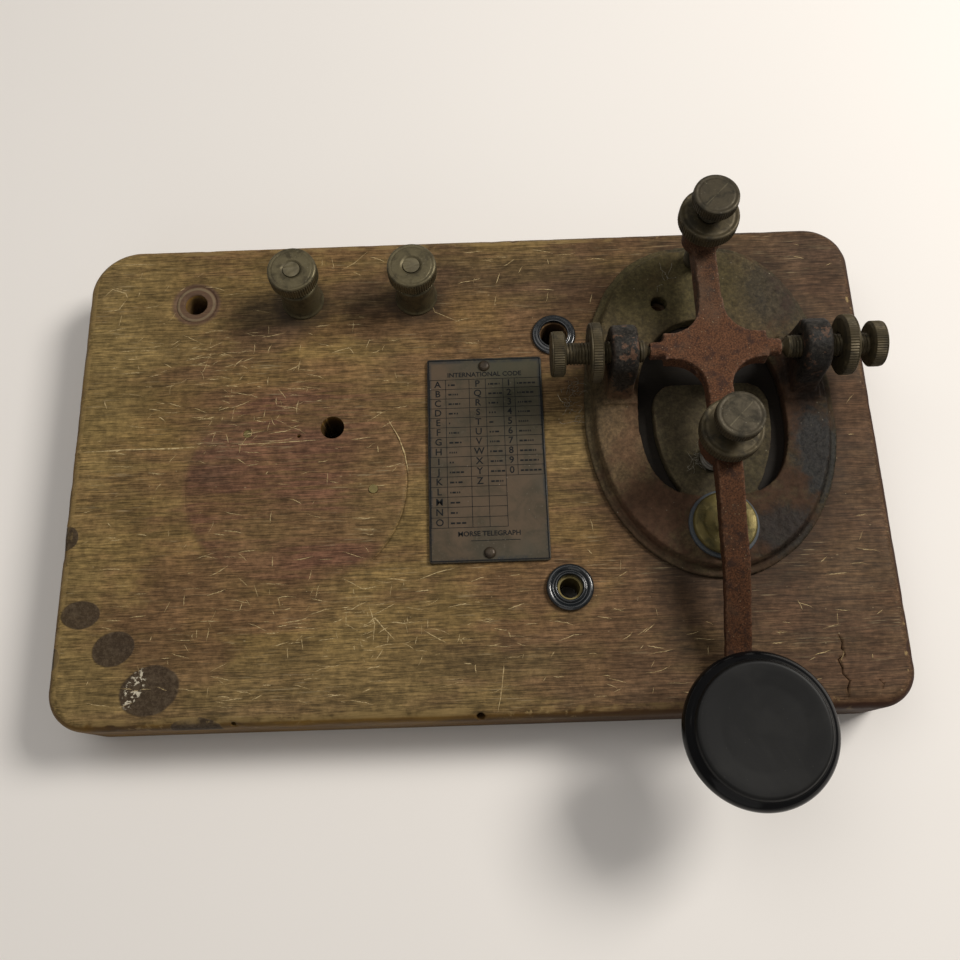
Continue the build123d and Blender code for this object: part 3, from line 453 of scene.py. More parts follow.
def patina_material(name, base, dark, bright, metallic=0.4, rough=0.52):
    """Old brass or nickel that has gone grey, green and brown."""
    s = Surface(name, metallic=metallic, specular=0.3)
    fine = s.noise(1800, 5, 0.68)
    mid = s.noise(340, 4, 0.6, 0.4)
    s.colour = s.mix(base, dark, s.ramp(mid, 0.42, 0.68))
    s.layer(bright, s.ramp(fine, 0.55, 0.75), 0.35)
    s.layer(bright, s.edges(0.51, 0.60), 0.55)
    grime = s.ramp(s.noise(120, 4, 0.6), 0.52, 0.72)
    s.layer((0.050, 0.040, 0.026), grime, 0.5)
    lines = s.cells(900, at=s.stretch((1, 0.1, 1), turn=(0, 0, 35)), feature="DISTANCE_TO_EDGE")
    scratch = s.ramp(lines, 0.02, 0.004)
    s.layer(bright, s.mul(scratch, s.ramp(mid, 0.5, 0.6)), 0.08)
    specks = s.mul(s.ramp(s.cells(1100), 0.13, 0.07), s.ramp(s.noise(260, 2), 0.5, 0.6))
    s.layer((0.30, 0.28, 0.22), specks, 0.45)
    normal = s.bump(fine, 0.04, 0.6)
    normal = s.bump(mid, 0.12, 0.35, under=normal)
    return s.finish(s.ramp(mid, 0.3, 0.7, rough - 0.08, rough + 0.18), normal)


def knob_material():
    s = Surface("knob_hard_rubber", specular=0.19)
    fine = s.noise(1600, 5, 0.65)
    smear = s.noise(70, 5, 0.6, 0.6)
    top = s.ramp(s.axis("Z"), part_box("knob")[1].z - 0.0013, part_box("knob")[1].z - 0.0007)
    face = s.mix((0.004, 0.004, 0.004), (0.009, 0.0088, 0.0084), s.ramp(smear, 0.4, 0.68))
    dusty = s.mix(face, (0.060, 0.058, 0.054), s.mul(s.ramp(s.cells(520), 0.06, 0.03), 0.4))
    s.colour = s.mix((0.004, 0.004, 0.0045), dusty, top)
    gloss = s.mix((0.13, 0.13, 0.13), (0.46, 0.46, 0.46), top)
    gloss = s.mix(gloss, (0.6, 0.6, 0.6), s.mul(s.ramp(smear, 0.5, 0.75), s.mul(top, 0.4)))
    normal = s.bump(fine, 0.015, 0.5)
    normal = s.bump(smear, 0.10, 0.25, under=normal)
    return s.finish(gloss, normal)


def gloss_black_material():
    s = Surface("gloss_black_moulding", specular=0.6, coat=0.4, coat_roughness=0.08)
    fine = s.noise(900, 4, 0.6)
    dust = s.mul(s.ramp(s.noise(2400, 3, 0.7), 0.55, 0.75), s.ramp(fine, 0.45, 0.65))
    s.colour = s.mix((0.008, 0.010, 0.012), (0.085, 0.085, 0.075), s.mul(dust, 0.5))
    return s.finish(s.ramp(fine, 0.3, 0.7, 0.12, 0.30), s.bump(fine, 0.03, 0.5))


def fibre_material():
    s = Surface("dark_fibre", specular=0.35)
    fine = s.noise(2000, 4, 0.7)
    s.colour = s.mix((0.040, 0.050, 0.062), (0.080, 0.085, 0.085), s.ramp(fine, 0.4, 0.7))
    s.layer((0.085, 0.070, 0.045), s.ramp(s.noise(200, 4), 0.5, 0.7), 0.6)
    return s.finish(s.ramp(fine, 0.3, 0.7, 0.5, 0.75), s.bump(fine, 0.05, 0.6))


def plate_material():
    s = Surface("dull_code_plate", metallic=0.2, specular=0.25)
    fine = s.noise(1500, 5, 0.7)
    mid = s.noise(150, 5, 0.65, 0.5)
    broad = s.noise(45, 3, 0.6)
    s.colour = s.mix((0.088, 0.060, 0.036), (0.062, 0.048, 0.030), s.ramp(mid, 0.38, 0.66))
    s.layer((0.050, 0.048, 0.034), s.ramp(broad, 0.46, 0.68), 0.6)
    # greenish and darker towards the rear right corner
    corner = s.blob(14, 20, 12, 14, 0.7, wobble=s.sway(mid, 0.5))
    s.layer((0.036, 0.040, 0.022), corner, 0.6)
    # blue-black enamel left along the border
    off_x = s.sum(s.axis("X"), -(plate_low.x + plate_high.x) / 2)
    off_y = s.sum(s.axis("Y"), -(plate_low.y + plate_high.y) / 2)
    near_x = s.ramp(s.sum(off_x, 0.0, "ABSOLUTE"), 0.0133, 0.0141)
    near_y = s.ramp(s.sum(off_y, 0.0, "ABSOLUTE"), 0.0252, 0.0262)
    border = s.mul(s.most(near_x, near_y), s.ramp(s.sum(mid, s.mul(fine, 0.4)), 0.80, 0.62))
    s.layer((0.018, 0.022, 0.024), border, 0.8)
    rub = s.mul(s.ramp(fine, 0.55, 0.75), s.ramp(mid, 0.5, 0.62))
    s.layer((0.19, 0.165, 0.125), rub, 0.45)
    specks = s.mul(s.ramp(s.cells(620), 0.08, 0.05), s.ramp(s.noise(120, 2), 0.5, 0.6))
    s.layer((0.40, 0.37, 0.30), specks, 0.5)
    normal = s.bump(fine, 0.03, 0.6)
    normal = s.bump(mid, 0.10, 0.3, under=normal)
    return s.finish(s.ramp(mid, 0.35, 0.65, 0.42, 0.68), normal)


def steel_material():
    s = Surface("dull_steel", metallic=0.7, specular=0.5)
    fine = s.noise(1600, 4, 0.6)
    mid = s.noise(300, 4, 0.6)
    s.colour = s.mix((0.26, 0.24, 0.21), (0.11, 0.075, 0.05), s.ramp(mid, 0.45, 0.68))
    return s.finish(s.ramp(fine, 0.3, 0.7, 0.38, 0.6), s.bump(fine, 0.03, 0.5))


def mottled(name, specular, scale, detail, rough, colours, fade, gloss, relief):
    """A plain finish between two colours by one fine noise."""
    s = Surface(name, specular=specular)
    fine = s.noise(scale, detail, rough)
    s.colour = s.mix(*colours, s.ramp(fine, *fade))
    return s.finish(s.ramp(fine, 0.3, 0.7, *gloss), s.bump(fine, *relief))


WOOD = wood_material()
RUST = rust_material()
CASTING = casting_material()
KNOB = knob_material()
GLOSS = gloss_black_material()
FIBRE = fibre_material()
PLATE = plate_material()
STEEL = steel_material()
INK_TONES = ((0.006, 0.007, 0.008), (0.020, 0.018, 0.015))
INK = mottled("plate_black_enamel", 0.12, 2500, 3, 0.6, INK_TONES, (0.5, 0.7), (0.4, 0.6), (0.02, 0.5))
RAW_TONES = ((0.50, 0.385, 0.205), (0.26, 0.185, 0.085))
SCRATCHED = mottled("bare_scratched_wood", 0.1, 1500, 4, 0.65, RAW_TONES, (0.40, 0.62), (0.7, 0.9), (0.02, 0.5))
LINT_TONES = ((0.30, 0.28, 0.23), (0.16, 0.14, 0.10))
LINT = mottled("grey_lint", 0.1, 2000, 3, 0.6, LINT_TONES, (0.4, 0.6), (0.8, 0.95), (0.01, 0.4))
NUT_METAL = patina_material("olive_brass", (0.072, 0.056, 0.029), (0.034, 0.028, 0.017), (0.15, 0.12, 0.070))
HEAD_METAL = patina_material(
    "dark_grey_brass", (0.050, 0.040, 0.023), (0.025, 0.021, 0.013), (0.115, 0.098, 0.060)
)
PIN_METAL = patina_material(
    "dark_pin", (0.050, 0.036, 0.022), (0.026, 0.019, 0.013), (0.11, 0.085, 0.060), 0.3, 0.4
)
POST_METAL = patina_material(
    "post_brass", (0.115, 0.096, 0.052), (0.058, 0.048, 0.027), (0.23, 0.20, 0.13), 0.5, 0.46
)
DISC_METAL = patina_material(
    "contact_brass", (0.128, 0.100, 0.032), (0.066, 0.055, 0.020), (0.25, 0.20, 0.08), 0.5, 0.46
)


def link(name, mesh):
    """A new object for a mesh, in the scene."""
    obj = bpy.data.objects.new(name, mesh)
    bpy.context.scene.collection.objects.link(obj)
    return obj


def to_object(name, shape, material, sharp=35.0):
    """A linked object with smooth shading and sharp edges past an angle in degrees."""
    mesh = bpy.data.meshes.new(name)
    bmesh.ops.recalc_face_normals(shape, faces=shape.faces[:])
    shape.to_mesh(mesh)
    shape.free()
    mesh.materials.append(material)
    mesh.shade_smooth()
    mesh.set_sharp_from_angle(angle=math.radians(sharp))
    return link(name, mesh)


def ride(obj, body):
    """obj rides on a body as an extra detail."""
    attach(obj, body)


def swap(obj, body, node):
    """obj rides on a body and stands for a CAD node, which it hides."""
    ride(obj, body)
    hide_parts(node)
    return obj


def place_at(origin, direction=(0, 0, 1)):
    """Local z along direction, millimetres to metres."""
    turn = Vector(direction).to_track_quat("Z", "Y").to_matrix().to_4x4()
    return Matrix.Translation(origin) @ turn @ Matrix.Scale(MM, 4)


def upright(node):
    """Over a node's centre, with heights from the board's underside."""
    centre = middle(node)
    return place_at((centre.x, centre.y, 0))


def heights(node):
    """Bottom and top of a node, in millimetres."""
    low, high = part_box(node)
    return low.z / MM, high.z / MM


def skin(shape, loops, ring=False):
    """Joins loops of vertices into a closed skin: a ring of loops, or a run with capped ends."""
    count = len(loops[0])
    for here, there in zip(loops, loops[1:] + loops[:1] if ring else loops[1:]):
        for i in range(count):
            j = (i + 1) % count
            shape.faces.new((here[i], here[j], there[j], there[i]))
    if not ring:
        shape.faces.new(loops[0][::-1])
        shape.faces.new(loops[-1])


def soften(points, radius=0.25, steps=3):
    """Rounds the inner corners of a profile of (radius, height) or (radius, height, knurl) points."""
    points = [(*point, 0)[:3] for point in points]
    out = [points[0]]
    for before, here, after in zip(points, points[1:], points[2:]):
        a, b, c = Vector(before[:2]), Vector(here[:2]), Vector(after[:2])
        reach = min(radius, (a - b).length * 0.45, (c - b).length * 0.45)
        if reach < 0.02:
            out.append(here)
            continue
        start = b + (a - b).normalized() * reach
        end = b + (c - b).normalized() * reach
        for i in range(steps + 1):
            t = i / steps
            spot = start * (1 - t) ** 2 + b * 2 * t * (1 - t) + end * t * t
            out.append((spot.x, spot.y, here[2]))
    return out + [points[-1]]


def lathe(shape, place, rings, segments=96, teeth=0, hollow=False):
    """Adds a turned body. A ring is (radius, height, knurl depth) in millimetres."""
    if teeth:
        segments = teeth * 4
    loops = []
    for radius, height, cut in rings:
        loop = []
        for i in range(segments):
            a = 2 * math.pi * i / segments
            r = max(radius - cut * (0.5 - 0.5 * math.cos(a * teeth)), 0.001)
            loop.append(shape.verts.new(place @ Vector((r * math.cos(a), r * math.sin(a), height))))
        loops.append(loop)
    skin(shape, loops, hollow)


def thread(shape, place, low, high, radius=2.74, pitch=0.8, depth=0.28, segments=40):
    """Adds a rod with a helical V thread from low to high."""
    steps = int((high - low) / pitch * 6)
    loops = []
    for k in range(steps + 1):
        height = low + (high - low) * k / steps
        fade = min(1.0, (height - low) / pitch, (high - height) / pitch)
        loop = []
        for i in range(segments):
            a = 2 * math.pi * i / segments
            saw = (height / pitch - a / (2 * math.pi)) % 1.0
            r = radius - depth * abs(2 * saw - 1) * fade - 0.12 * (1 - fade)
            loop.append(shape.verts.new(place @ Vector((r * math.cos(a), r * math.sin(a), height))))
        loops.append(loop)
    skin(shape, loops)


def knurled_head(radius, thick):
    """Profile of a screw's knurled head, from its underside up to its slightly dished top."""
    profile = [(1.6, 0.0), (radius - 0.75, 0.0), (radius - 0.18, 0.42), (radius - 0.02, 0.55, KNURL)]
    profile += [(radius - 0.02, thick - 0.62, KNURL), (radius - 0.18, thick - 0.50)]
    profile += [(radius - 0.10, thick - 0.22), (radius - 0.55, thick - 0.02), (radius - 1.15, thick - 0.14)]
    return soften(profile + [(radius - 1.5, thick - 0.06), (0.4, thick - 0.10)], 0.2)


def knurled_ring(radius, thick, bore):
    """Closed profile of a knurled nut round its bore."""
    profile = [(bore, thick / 2), (bore, 0.25), (bore + 0.3, 0.0), (radius - 0.9, 0.0), (radius - 0.22, 0.40)]
    profile += [(radius - 0.02, 0.52, KNURL), (radius - 0.02, thick - 0.70, KNURL)]
    profile += [(radius - 0.20, thick - 0.58), (radius - 0.08, thick - 0.28)]
    profile += [(radius - 0.50, thick - 0.02), (radius - 1.25, thick - 0.16)]
    profile += [(radius - 1.7, thick - 0.04), (bore + 0.35, thick - 0.04), (bore, thick - 0.35)]
    return soften(profile, 0.2)


def baked(obj, name):
    """A new object with obj's modifiers applied; obj is removed."""
    bpy.context.view_layer.update()
    graph = bpy.context.evaluated_depsgraph_get()
    mesh = bpy.data.meshes.new_from_object(obj.evaluated_get(graph))
    bpy.data.objects.remove(obj)
    mesh.name = name
    return link(name, mesh)


def copy_of(node, name):
    """A free copy of a CAD node, with its vertices welded."""
    shape = bmesh.new()
    shape.from_mesh(NODES[node].data)
    bmesh.ops.remove_doubles(shape, verts=shape.verts[:], dist=0.002 * MM)
    mesh = bpy.data.meshes.new(name)
    shape.to_mesh(mesh)
    shape.free()
    return link(name, mesh)


def forged(name, node, body, material, voxel, waves, smoothing=6):
    """A CAD node with rounded edges and an uneven forged or cast skin, in place of the node.
    waves are (features per millimetre, depth in millimetres)."""
    obj = copy_of(node, name + "_draft")
    remesh = obj.modifiers.new("remesh", "REMESH")
    remesh.mode = "VOXEL"
    remesh.voxel_size = voxel * MM
    smooth = obj.modifiers.new("smooth", "SMOOTH")
    smooth.factor = 0.5
    smooth.iterations = smoothing
    obj = baked(obj, name)
    moves = []
    for vertex in obj.data.vertices:
        spot = vertex.co / MM
        deep = 0.0
        for often, depth in waves:
            deep += depth * (noise.noise(spot * often) - 0.25)
        moves.append(vertex.normal * (deep * MM))
    for vertex, move in zip(obj.data.vertices, moves):
        vertex.co += move
    obj.data.shade_smooth()
    paint(obj, material)
    swap(obj, body, node)


def cut_with(obj, other, how):
    step = obj.modifiers.new(how, "BOOLEAN")
    step.operation = how
    step.solver = "MANIFOLD"
    step.object = other


def cut_slab(slab, node, name, material, sharp, marks=()):
    """The slab with the CAD node's holes and some marks cut in it, in place of the node."""
    holes = copy_of(node, name + "_holes")
    cut_with(slab, holes, "INTERSECT")
    for mark in marks:
        cut_with(slab, mark, "DIFFERENCE")
    piece = baked(slab, name)
    for tool in (holes, *marks):
        bpy.data.objects.remove(tool)
    paint(piece, material)
    piece.data.shade_smooth()
    piece.data.set_sharp_from_angle(angle=math.radians(sharp))
    swap(piece, "board", node)


# ---------------------------------------------------------------- the board
# where the surface is dented: x, y, z, radius and depth
DENTS = (
    (-62.0, 6.0, 19.2, 1.1, 0.25),
    (-86.0, -63.5, 18.8, 1.6, 0.7),
    (-91.0, -62.0, 19.0, 1.2, 0.4),
    (-40.0, -63.5, 18.6, 1.4, 0.4),
    (24.0, -63.5, 18.9, 1.5, 0.35),
    (75.0, -63.5, 18.8, 1.6, 0.5),
    (-101.6, 22.0, 18.8, 1.8, 0.25),
    (-101.6, -22.0, 18.9, 2.2, 0.25),
    (-101.6, -48.0, 18.8, 1.5, 0.25),
    (12.6, 63.0, 18.8, 1.3, 0.6),
    (-3.2, 63.2, 18.8, 0.9, 0.5),
    (-6.5, 63.0, 18.9, 1.2, 0.5),
    (-88.0, 57.0, 19.0, 1.0, 0.25),
    (101.0, -50.0, 18.7, 1.7, 0.5),
)
CRACK = ((84.3, -46.6), (84.9, -48.6), (84.6, -49.9), (85.3, -51.2), (83.4, -52.4), (84.1, -54.2))
CRACK += ((83.9, -55.6), (85.4, -57.4), (84.7, -59.0), (84.4, -61.3))
SHORT_CRACK = ((92.0, -57.2), (93.1, -58.4), (92.6, -59.3))


def board_wear(spot):
    """How deep the board's surface is worn at a place, in millimetres."""
    deep = 0.035 + 0.05 * (noise.noise(spot * 0.06) + 1) / 2
    deep += 0.035 * max(0.0, noise.noise(Vector((spot.x * 0.12, spot.y * 0.7, spot.z * 0.3))))
    inset = min(BOARD_W / 2 - abs(spot.x), BOARD_D / 2 - abs(spot.y))
    if inset < 3.0 and spot.z > BOARD_T - 3.5:
        deep += 0.22 * max(0.0, noise.noise(spot * 0.22)) * (1 - inset / 3.0)
    for x, y, wide, tall, _ in SUNK_BURNS:
        reach = math.hypot((spot.x - x) / wide, (spot.y - y) / tall)
        if reach < 1.15 and spot.z > BOARD_T - 0.8:
            deep += 0.16 * min(1.0, (1.15 - reach) / 0.3) * (0.75 + 0.5 * noise.noise(spot * 0.9))
    for x, y, z, radius, depth in DENTS:
        far = (spot - Vector((x, y, z))).length / radius
        if far < 1:
            deep += depth * (1 - far * far)
    return deep


def rounded_slab(name, size, corners, top_round, low_round, step, wear, z_low=0.0, centre=(0, 0)):
    """A slab with rounded corners and edges, as a fine grid that wear(spot) sinks.
    corners are the radii at the rear right, rear left, front left and front right."""
    width, depth, thick = size
    counts = [max(2, round(size / step)) for size in (width, depth, thick)]
    half = (width / 2, depth / 2)
    grid = {}
    shape = bmesh.new()

    def moved(i, j, k):
        x = -half[0] + width * i / counts[0]
        y = -half[1] + depth * j / counts[1]
        z = thick * k / counts[2]
        corner = corners[(0 if x > 0 else 1) if y > 0 else (3 if x > 0 else 2)]
        # the square corner becomes a quarter disc
        ax = abs(x) - (half[0] - corner)
        ay = abs(y) - (half[1] - corner)
        inset = min(half[0] - abs(x), half[1] - abs(y))
        if ax > 0 and ay > 0:
            far = math.hypot(ax, ay)
            big = max(ax, ay)
            x = math.copysign(half[0] - corner + ax * big / far, x)
            y = math.copysign(half[1] - corner + ay * big / far, y)
            out = Vector((math.copysign(ax, x), math.copysign(ay, y), 0)).normalized()
            inset = corner - big
        elif half[0] - abs(x) < half[1] - abs(y):
            out = Vector((math.copysign(1, x), 0, 0))
        else:
            out = Vector((0, math.copysign(1, y), 0))
        up = 1 if k * 2 >= counts[2] else -1
        edge = top_round if up > 0 else low_round
        from_face = thick - z if up > 0 else z
        normal = out if 0 < k < counts[2] else Vector((0, 0, up))
        if inset < edge and from_face < edge and (inset < 1e-6 or from_face < 1e-6):
            if from_face < 1e-6:
                angle = (1 - inset / edge) * math.pi / 4
            else:
                angle = math.pi / 4 + from_face / edge * math.pi / 4
            new_inset = edge - edge * math.sin(angle)
            new_depth = edge - edge * math.cos(angle)
            shift = inset - new_inset
            x += out.x * shift
            y += out.y * shift
            z = thick - new_depth if up > 0 else new_depth
            normal = (out * math.sin(angle) + Vector((0, 0, up)) * math.cos(angle)).normalized()
        spot = Vector((x + centre[0], y + centre[1], z + z_low))
        return spot - normal * wear(spot)

    def vertex(i, j, k):
        if (i, j, k) not in grid:
            grid[(i, j, k)] = shape.verts.new(moved(i, j, k) * MM)
        return grid[(i, j, k)]

    def quads(fixed, level, first, second):
        for a in range(counts[first]):
            for b in range(counts[second]):
                corners = []
                for da, db in ((0, 0), (1, 0), (1, 1), (0, 1)):
                    index = [0, 0, 0]
                    index[fixed] = level
                    index[first] = a + da
                    index[second] = b + db
                    corners.append(vertex(*index))
                shape.faces.new(corners)

    for fixed, first, second in ((2, 0, 1), (0, 1, 2), (1, 0, 2)):
        for level in (0, counts[fixed]):
            quads(fixed, level, first, second)
    return to_object(name, shape, WOOD, 60)


def crack_cutter(shape, points, wide, deep):
    """A thin upright wedge along a wandering line on the board."""
    rails = []
    for index, (x, y) in enumerate(points):
        end = index in (0, len(points) - 1)
        half = 0.03 if end else wide * (0.35 + 0.3 * (index % 3)) / 2
        before = points[max(index - 1, 0)]
        after = points[min(index + 1, len(points) - 1)]
        along = Vector((after[0] - before[0], after[1] - before[1], 0)).normalized()
        side = Vector((-along.y, along.x, 0))
        top = Vector((x, y, BOARD_T + 0.5))
        low = Vector((x, y, BOARD_T - deep * (0.35 if end else 1)))
        rails.append([shape.verts.new(spot * MM) for spot in (top - side * half, top + side * half, low)])
    skin(shape, rails)


def arc_cutter(shape, x, y, radius, wire, lift, start, end, steps):
    """A torus, or part of one with thin ends, lying just above the board."""
    whole = end - start >= 360
    loops = []
    for k in range(steps if whole else steps + 1):
        a = math.radians(start + (end - start) * k / steps)
        thin = 1.0 if whole else max(0.15, math.sin(math.pi * k / steps) ** 0.5)
        loop = []
        for i in range(8):
            b = 2 * math.pi * i / 8
            r = radius + wire * thin * math.cos(b)
            z = BOARD_T + lift + wire * thin * math.sin(b)
            loop.append(shape.verts.new(Vector((x + r * math.cos(a), y + r * math.sin(a), z)) * MM))
        loops.append(loop)
    skin(shape, loops, whole)


def make_board():
    """The board with its holes, cracks, and the rings pressed in by a post and the buzzer."""
    slab = rounded_slab(
        "board_draft", (BOARD_W, BOARD_D, BOARD_T), (11.0, 13.0, 9.6, 9.2), 2.9, 0.8, 0.95, board_wear
    )
    marks = bmesh.new()
    crack_cutter(marks, CRACK, 0.75, 1.3)
    crack_cutter(marks, SHORT_CRACK, 0.3, 0.5)
    arc_cutter(marks, *POST_HOLE, 5.3, 0.32, 0.12, 0, 360, 96)
    arc_cutter(marks, *BUZZER, 27.7, 0.42, 0.16, -70, 52, 120)
    arc_cutter(marks, *BUZZER, 27.6, 0.34, 0.20, 150, 212, 60)
    marks = to_object("board_marks", marks, WOOD)
    cut_slab(slab, "wooden_board", "worn_board", WOOD, 40, (marks,))


SCRATCHES = (
    (((-97.6, 49.1), (-95.2, 51.6), (-91.6, 50.2), (-90.9, 48.8)), 0.26),
    (((-97.2, 44.9), (-93.0, 45.4), (-90.9, 48.8)), 0.20),
    (((-100.2, 5.2), (-88.0, 5.6), (-76.0, 5.5), (-68.9, 5.7)), 0.34),
    (((-67.9, 5.8), (-56.0, 6.0), (-45.0, 6.3), (-38.6, 6.5)), 0.24),
    (((-21.4, 11.5), (-18.6, 6.4), (-17.1, 1.7), (-16.3, -3.2)), 0.32),
    (((-14.2, -30.3), (-9.5, -28.6), (-5.2, -27.7)), 0.26),
    (((5.8, -50.6), (5.2, -56.0), (4.0, -62.0)), 0.26),
    (((-3.0, -44.4), (-4.2, -45.0), (-3.7, -46.1)), 0.22),
    (((-26.5, -40.7), (-24.5, -39.2), (-21.7, -42.4), (-19.7, -44.6)), 0.26),
    (((-24.9, -45.6), (-24.5, -40.6), (-26.0, -36.0)), 0.20),
    (((-96.0, 58.4), (-90.0, 58.9), (-84.0, 58.7)), 0.18),
    (((-2.0, 38.0), (-9.0, 41.5), (-11.0, 47.0)), 0.16),
    (((-34.0, 55.0), (-30.5, 57.0), (-27.0, 60.4)), 0.16),
)
# where small scratches crowd: x, y and spread
SCRATCH_PATCHES = ((-66.6, 31.2, 9), (-56.6, 12.6, 10), (-24.0, -42.0, 9))
SCRATCH_PATCHES += ((-60.0, -42.0, 14), (-88.0, 20.0, 16), (5.0, -45.0, 18))
SMALL_SCRATCHES = 520
# holes that scratches keep clear of: x, y and reach
CLEAR_HOLES = ((*POST_HOLE, 5), (-43.9, 46.1, 8), (-13.9, 46.1, 8))
CLEAR_HOLES += ((-35.5, 9.75, 5), (22, 33.5, 8), (22, -33.4, 8))


def sliver(shape, points, wide):
    """A thin raised splinter along a path on the board, pointed at both ends."""
    spine = []
    for here, there in zip(points, points[1:]):
        for k in range(4):
            spine.append(Vector(here).lerp(Vector(there), k / 4))
    spine.append(Vector(points[-1]))
    last = len(spine) - 1
    rails = []
    for index, spot in enumerate(spine):
        along = (spine[min(index + 1, last)] - spine[max(index - 1, 0)]).normalized()
        taper = min(1.0, 3 * index / last + 0.12, 3 * (last - index) / last + 0.12)
        half = wide / 2 * taper * (0.65 + 0.5 * random.random())
        jog = random.uniform(-0.05, 0.05)
        side = Vector((-along.y, along.x))
        top = BOARD_T - board_wear(Vector((spot.x, spot.y, BOARD_T)))
        left = Vector((*(spot + side * (half + jog)), top + 0.004))
        right = Vector((*(spot - side * (half - jog)), top + 0.004))
        peak = Vector((*(spot + side * jog), top + 0.022))
        low = Vector((*(spot + side * jog), top - 0.05))
        rails.append([shape.verts.new(corner * MM) for corner in (left, peak, right, low)])
    skin(shape, rails)


def free_spot(x, y):
    """Whether a place on the board is clear of the edges, the fittings and the holes."""
    if abs(x) > BOARD_W / 2 - 4 or abs(y) > BOARD_D / 2 - 4:
        return False
    if math.hypot((x - BASE[0]) / 34, (y - BASE[1]) / 52) < 1 or (abs(x - 3.4) < 17 and abs(y - 0.3) < 29):
        return False
    return all(math.hypot(x - hx, y - hy) > reach for hx, hy, reach in CLEAR_HOLES)


def make_scratches():
    """The long scratches at their places, and many small ones, mostly along the grain."""
    shape = bmesh.new()
    for points, wide in SCRATCHES:
        sliver(shape, points, wide)
    made = 0
    while made < SMALL_SCRATCHES:
        if made % 2:
            x = random.uniform(-BOARD_W / 2, BOARD_W / 2)
            y = random.uniform(-BOARD_D / 2, BOARD_D / 2)
        else:
            px, py, spread = random.choice(SCRATCH_PATCHES)
            x = random.gauss(px, spread)
            y = random.gauss(py, spread * 0.7)
        across = made % 3 == 0
        heading = random.gauss(80, 32) if across else random.gauss(0, 9)
        length = random.uniform(1.0, 3.6) if across else random.uniform(1.2, 6.5)
        step = Vector((math.cos(math.radians(heading)), math.sin(math.radians(heading)))) * length / 3
        points = [Vector((x, y))]
        for _ in range(3):
            step.rotate(Matrix.Rotation(random.gauss(0, 0.14), 2))
            points.append(points[-1] + step)
        if all(free_spot(spot.x, spot.y) for spot in points):
            sliver(shape, points, random.uniform(0.08, 0.22))
            made += 1
    ride(to_object("board_scratches", shape, SCRATCHED), "board")


# wisps of lint: x, y, z, spread, how many and how tall the tuft is
TUFTS = (
    (54.6, -4.2, 24.0, 1.6, 26, 1.0),
    (25.2, 16.0, 24.5, 2.0, 12, 2.4),
    (25.0, 13.4, 20.4, 1.5, 10, 0.5),
    (51.0, 45.0, 26.0, 1.2, 6, 2.4),
    (25.6, 9.0, 20.2, 1.2, 6, 0.5),
)


def make_lint(links=12, link_length=0.35, radius=0.045):
    """Lint caught on the spring, the left trunnion screw and the casting."""
    shape = bmesh.new()
    ring = [Vector((math.cos(a), math.sin(a), 0)) * radius for a in (0.0, 2.094, 4.189)]
    for x, y, z, spread, count, rise in TUFTS:
        for _ in range(count):
            spot = (random.gauss(x, spread * 0.5), random.gauss(y, spread * 0.6), random.gauss(z, rise * 0.4))
            spot = Vector(spot)
            heading = Vector((random.gauss(0, 1), random.gauss(0, 1), random.gauss(0, 0.5))).normalized()
            rings = []
            for _ in range(links):
                heading = (heading + Vector([random.gauss(0, 0.35) for _ in range(3)])).normalized()
                spot = spot + heading * link_length
                spot.z = max(spot.z, BOARD_T + 0.12)
                turn = heading.to_track_quat("Z", "Y")
                rings.append([shape.verts.new((spot + turn @ corner) * MM) for corner in ring])
            skin(shape, rings)
    ride(to_object("lint", shape, LINT), "board")


# ---------------------------------------------------------------- code plate
SIGNS = "ABCDEFGHIJKLMNOPQRSTUVWXYZ1234567890"
CODES = (
    ".- -... -.-. -.. . ..-. --. .... .. .--- -.- .-.. -- -. --- .--. --.- .-. ... - ..- ...- .-- "
    "-..- -.-- --.. "
    ".---- ..--- ...-- ....- ..... -.... --... ---.. ----. -----"
).split()
ROW_COUNT = 15
SHORT_ROW_COUNT = 10
ROW_STEP = 2.62
# lines between the columns, from the plate's left edge
COLUMNS = (0.7, 4.8, 10.8, 15.0, 19.4, 22.4, 28.8)
# first sign, letter column, code column and rows of each block
BLOCKS = ((0, 0, 1, 15), (15, 2, 3, 11), (26, 4, 5, 10))
LINE_W = 0.12
BORDER_W = 0.30
TITLE_SIZE = 1.75
SIGN_SIZE = 2.5
LETTER_SINK = 0.02


def plate_wear(spot):
    """The thin plate is slightly buckled and its edge is rubbed."""
    deep = 0.02 + 0.05 * (noise.noise(spot * 0.08) + 1) / 2
    return deep + 0.02 * max(0.0, noise.noise(spot * 0.5))


def bar(shape, x, y, wide, tall, low, high):
    """A flat box between two heights."""
    corners = [(x + i * wide / 2, y + j * tall / 2) for i, j in ((-1, -1), (1, -1), (1, 1), (-1, 1))]
    loops = [[shape.verts.new(Vector((*corner, z)) * MM) for corner in corners] for z in (low, high)]
    skin(shape, loops)


def letter_mesh(shape, text, x, y, size, low):
    """Adds text as solid strokes, centred at x, y."""
    curve = bpy.data.curves.new("glyph", "FONT")
    curve.body = text
    curve.size = size * MM
    curve.align_x = "CENTER"
    curve.align_y = "CENTER"
    curve.extrude = 0.03 * MM
    curve.offset = 0.025 * MM
    curve.resolution_u = 3
    holder = link("glyph", curve)
    holder.location = (x * MM, y * MM, low * MM)
    bpy.context.view_layer.update()
    mesh = bpy.data.meshes.new_from_object(holder.evaluated_get(bpy.context.evaluated_depsgraph_get()))
    mesh.transform(holder.matrix_world)
    shape.from_mesh(mesh)
    bpy.data.objects.remove(holder)
    bpy.data.meshes.remove(mesh)


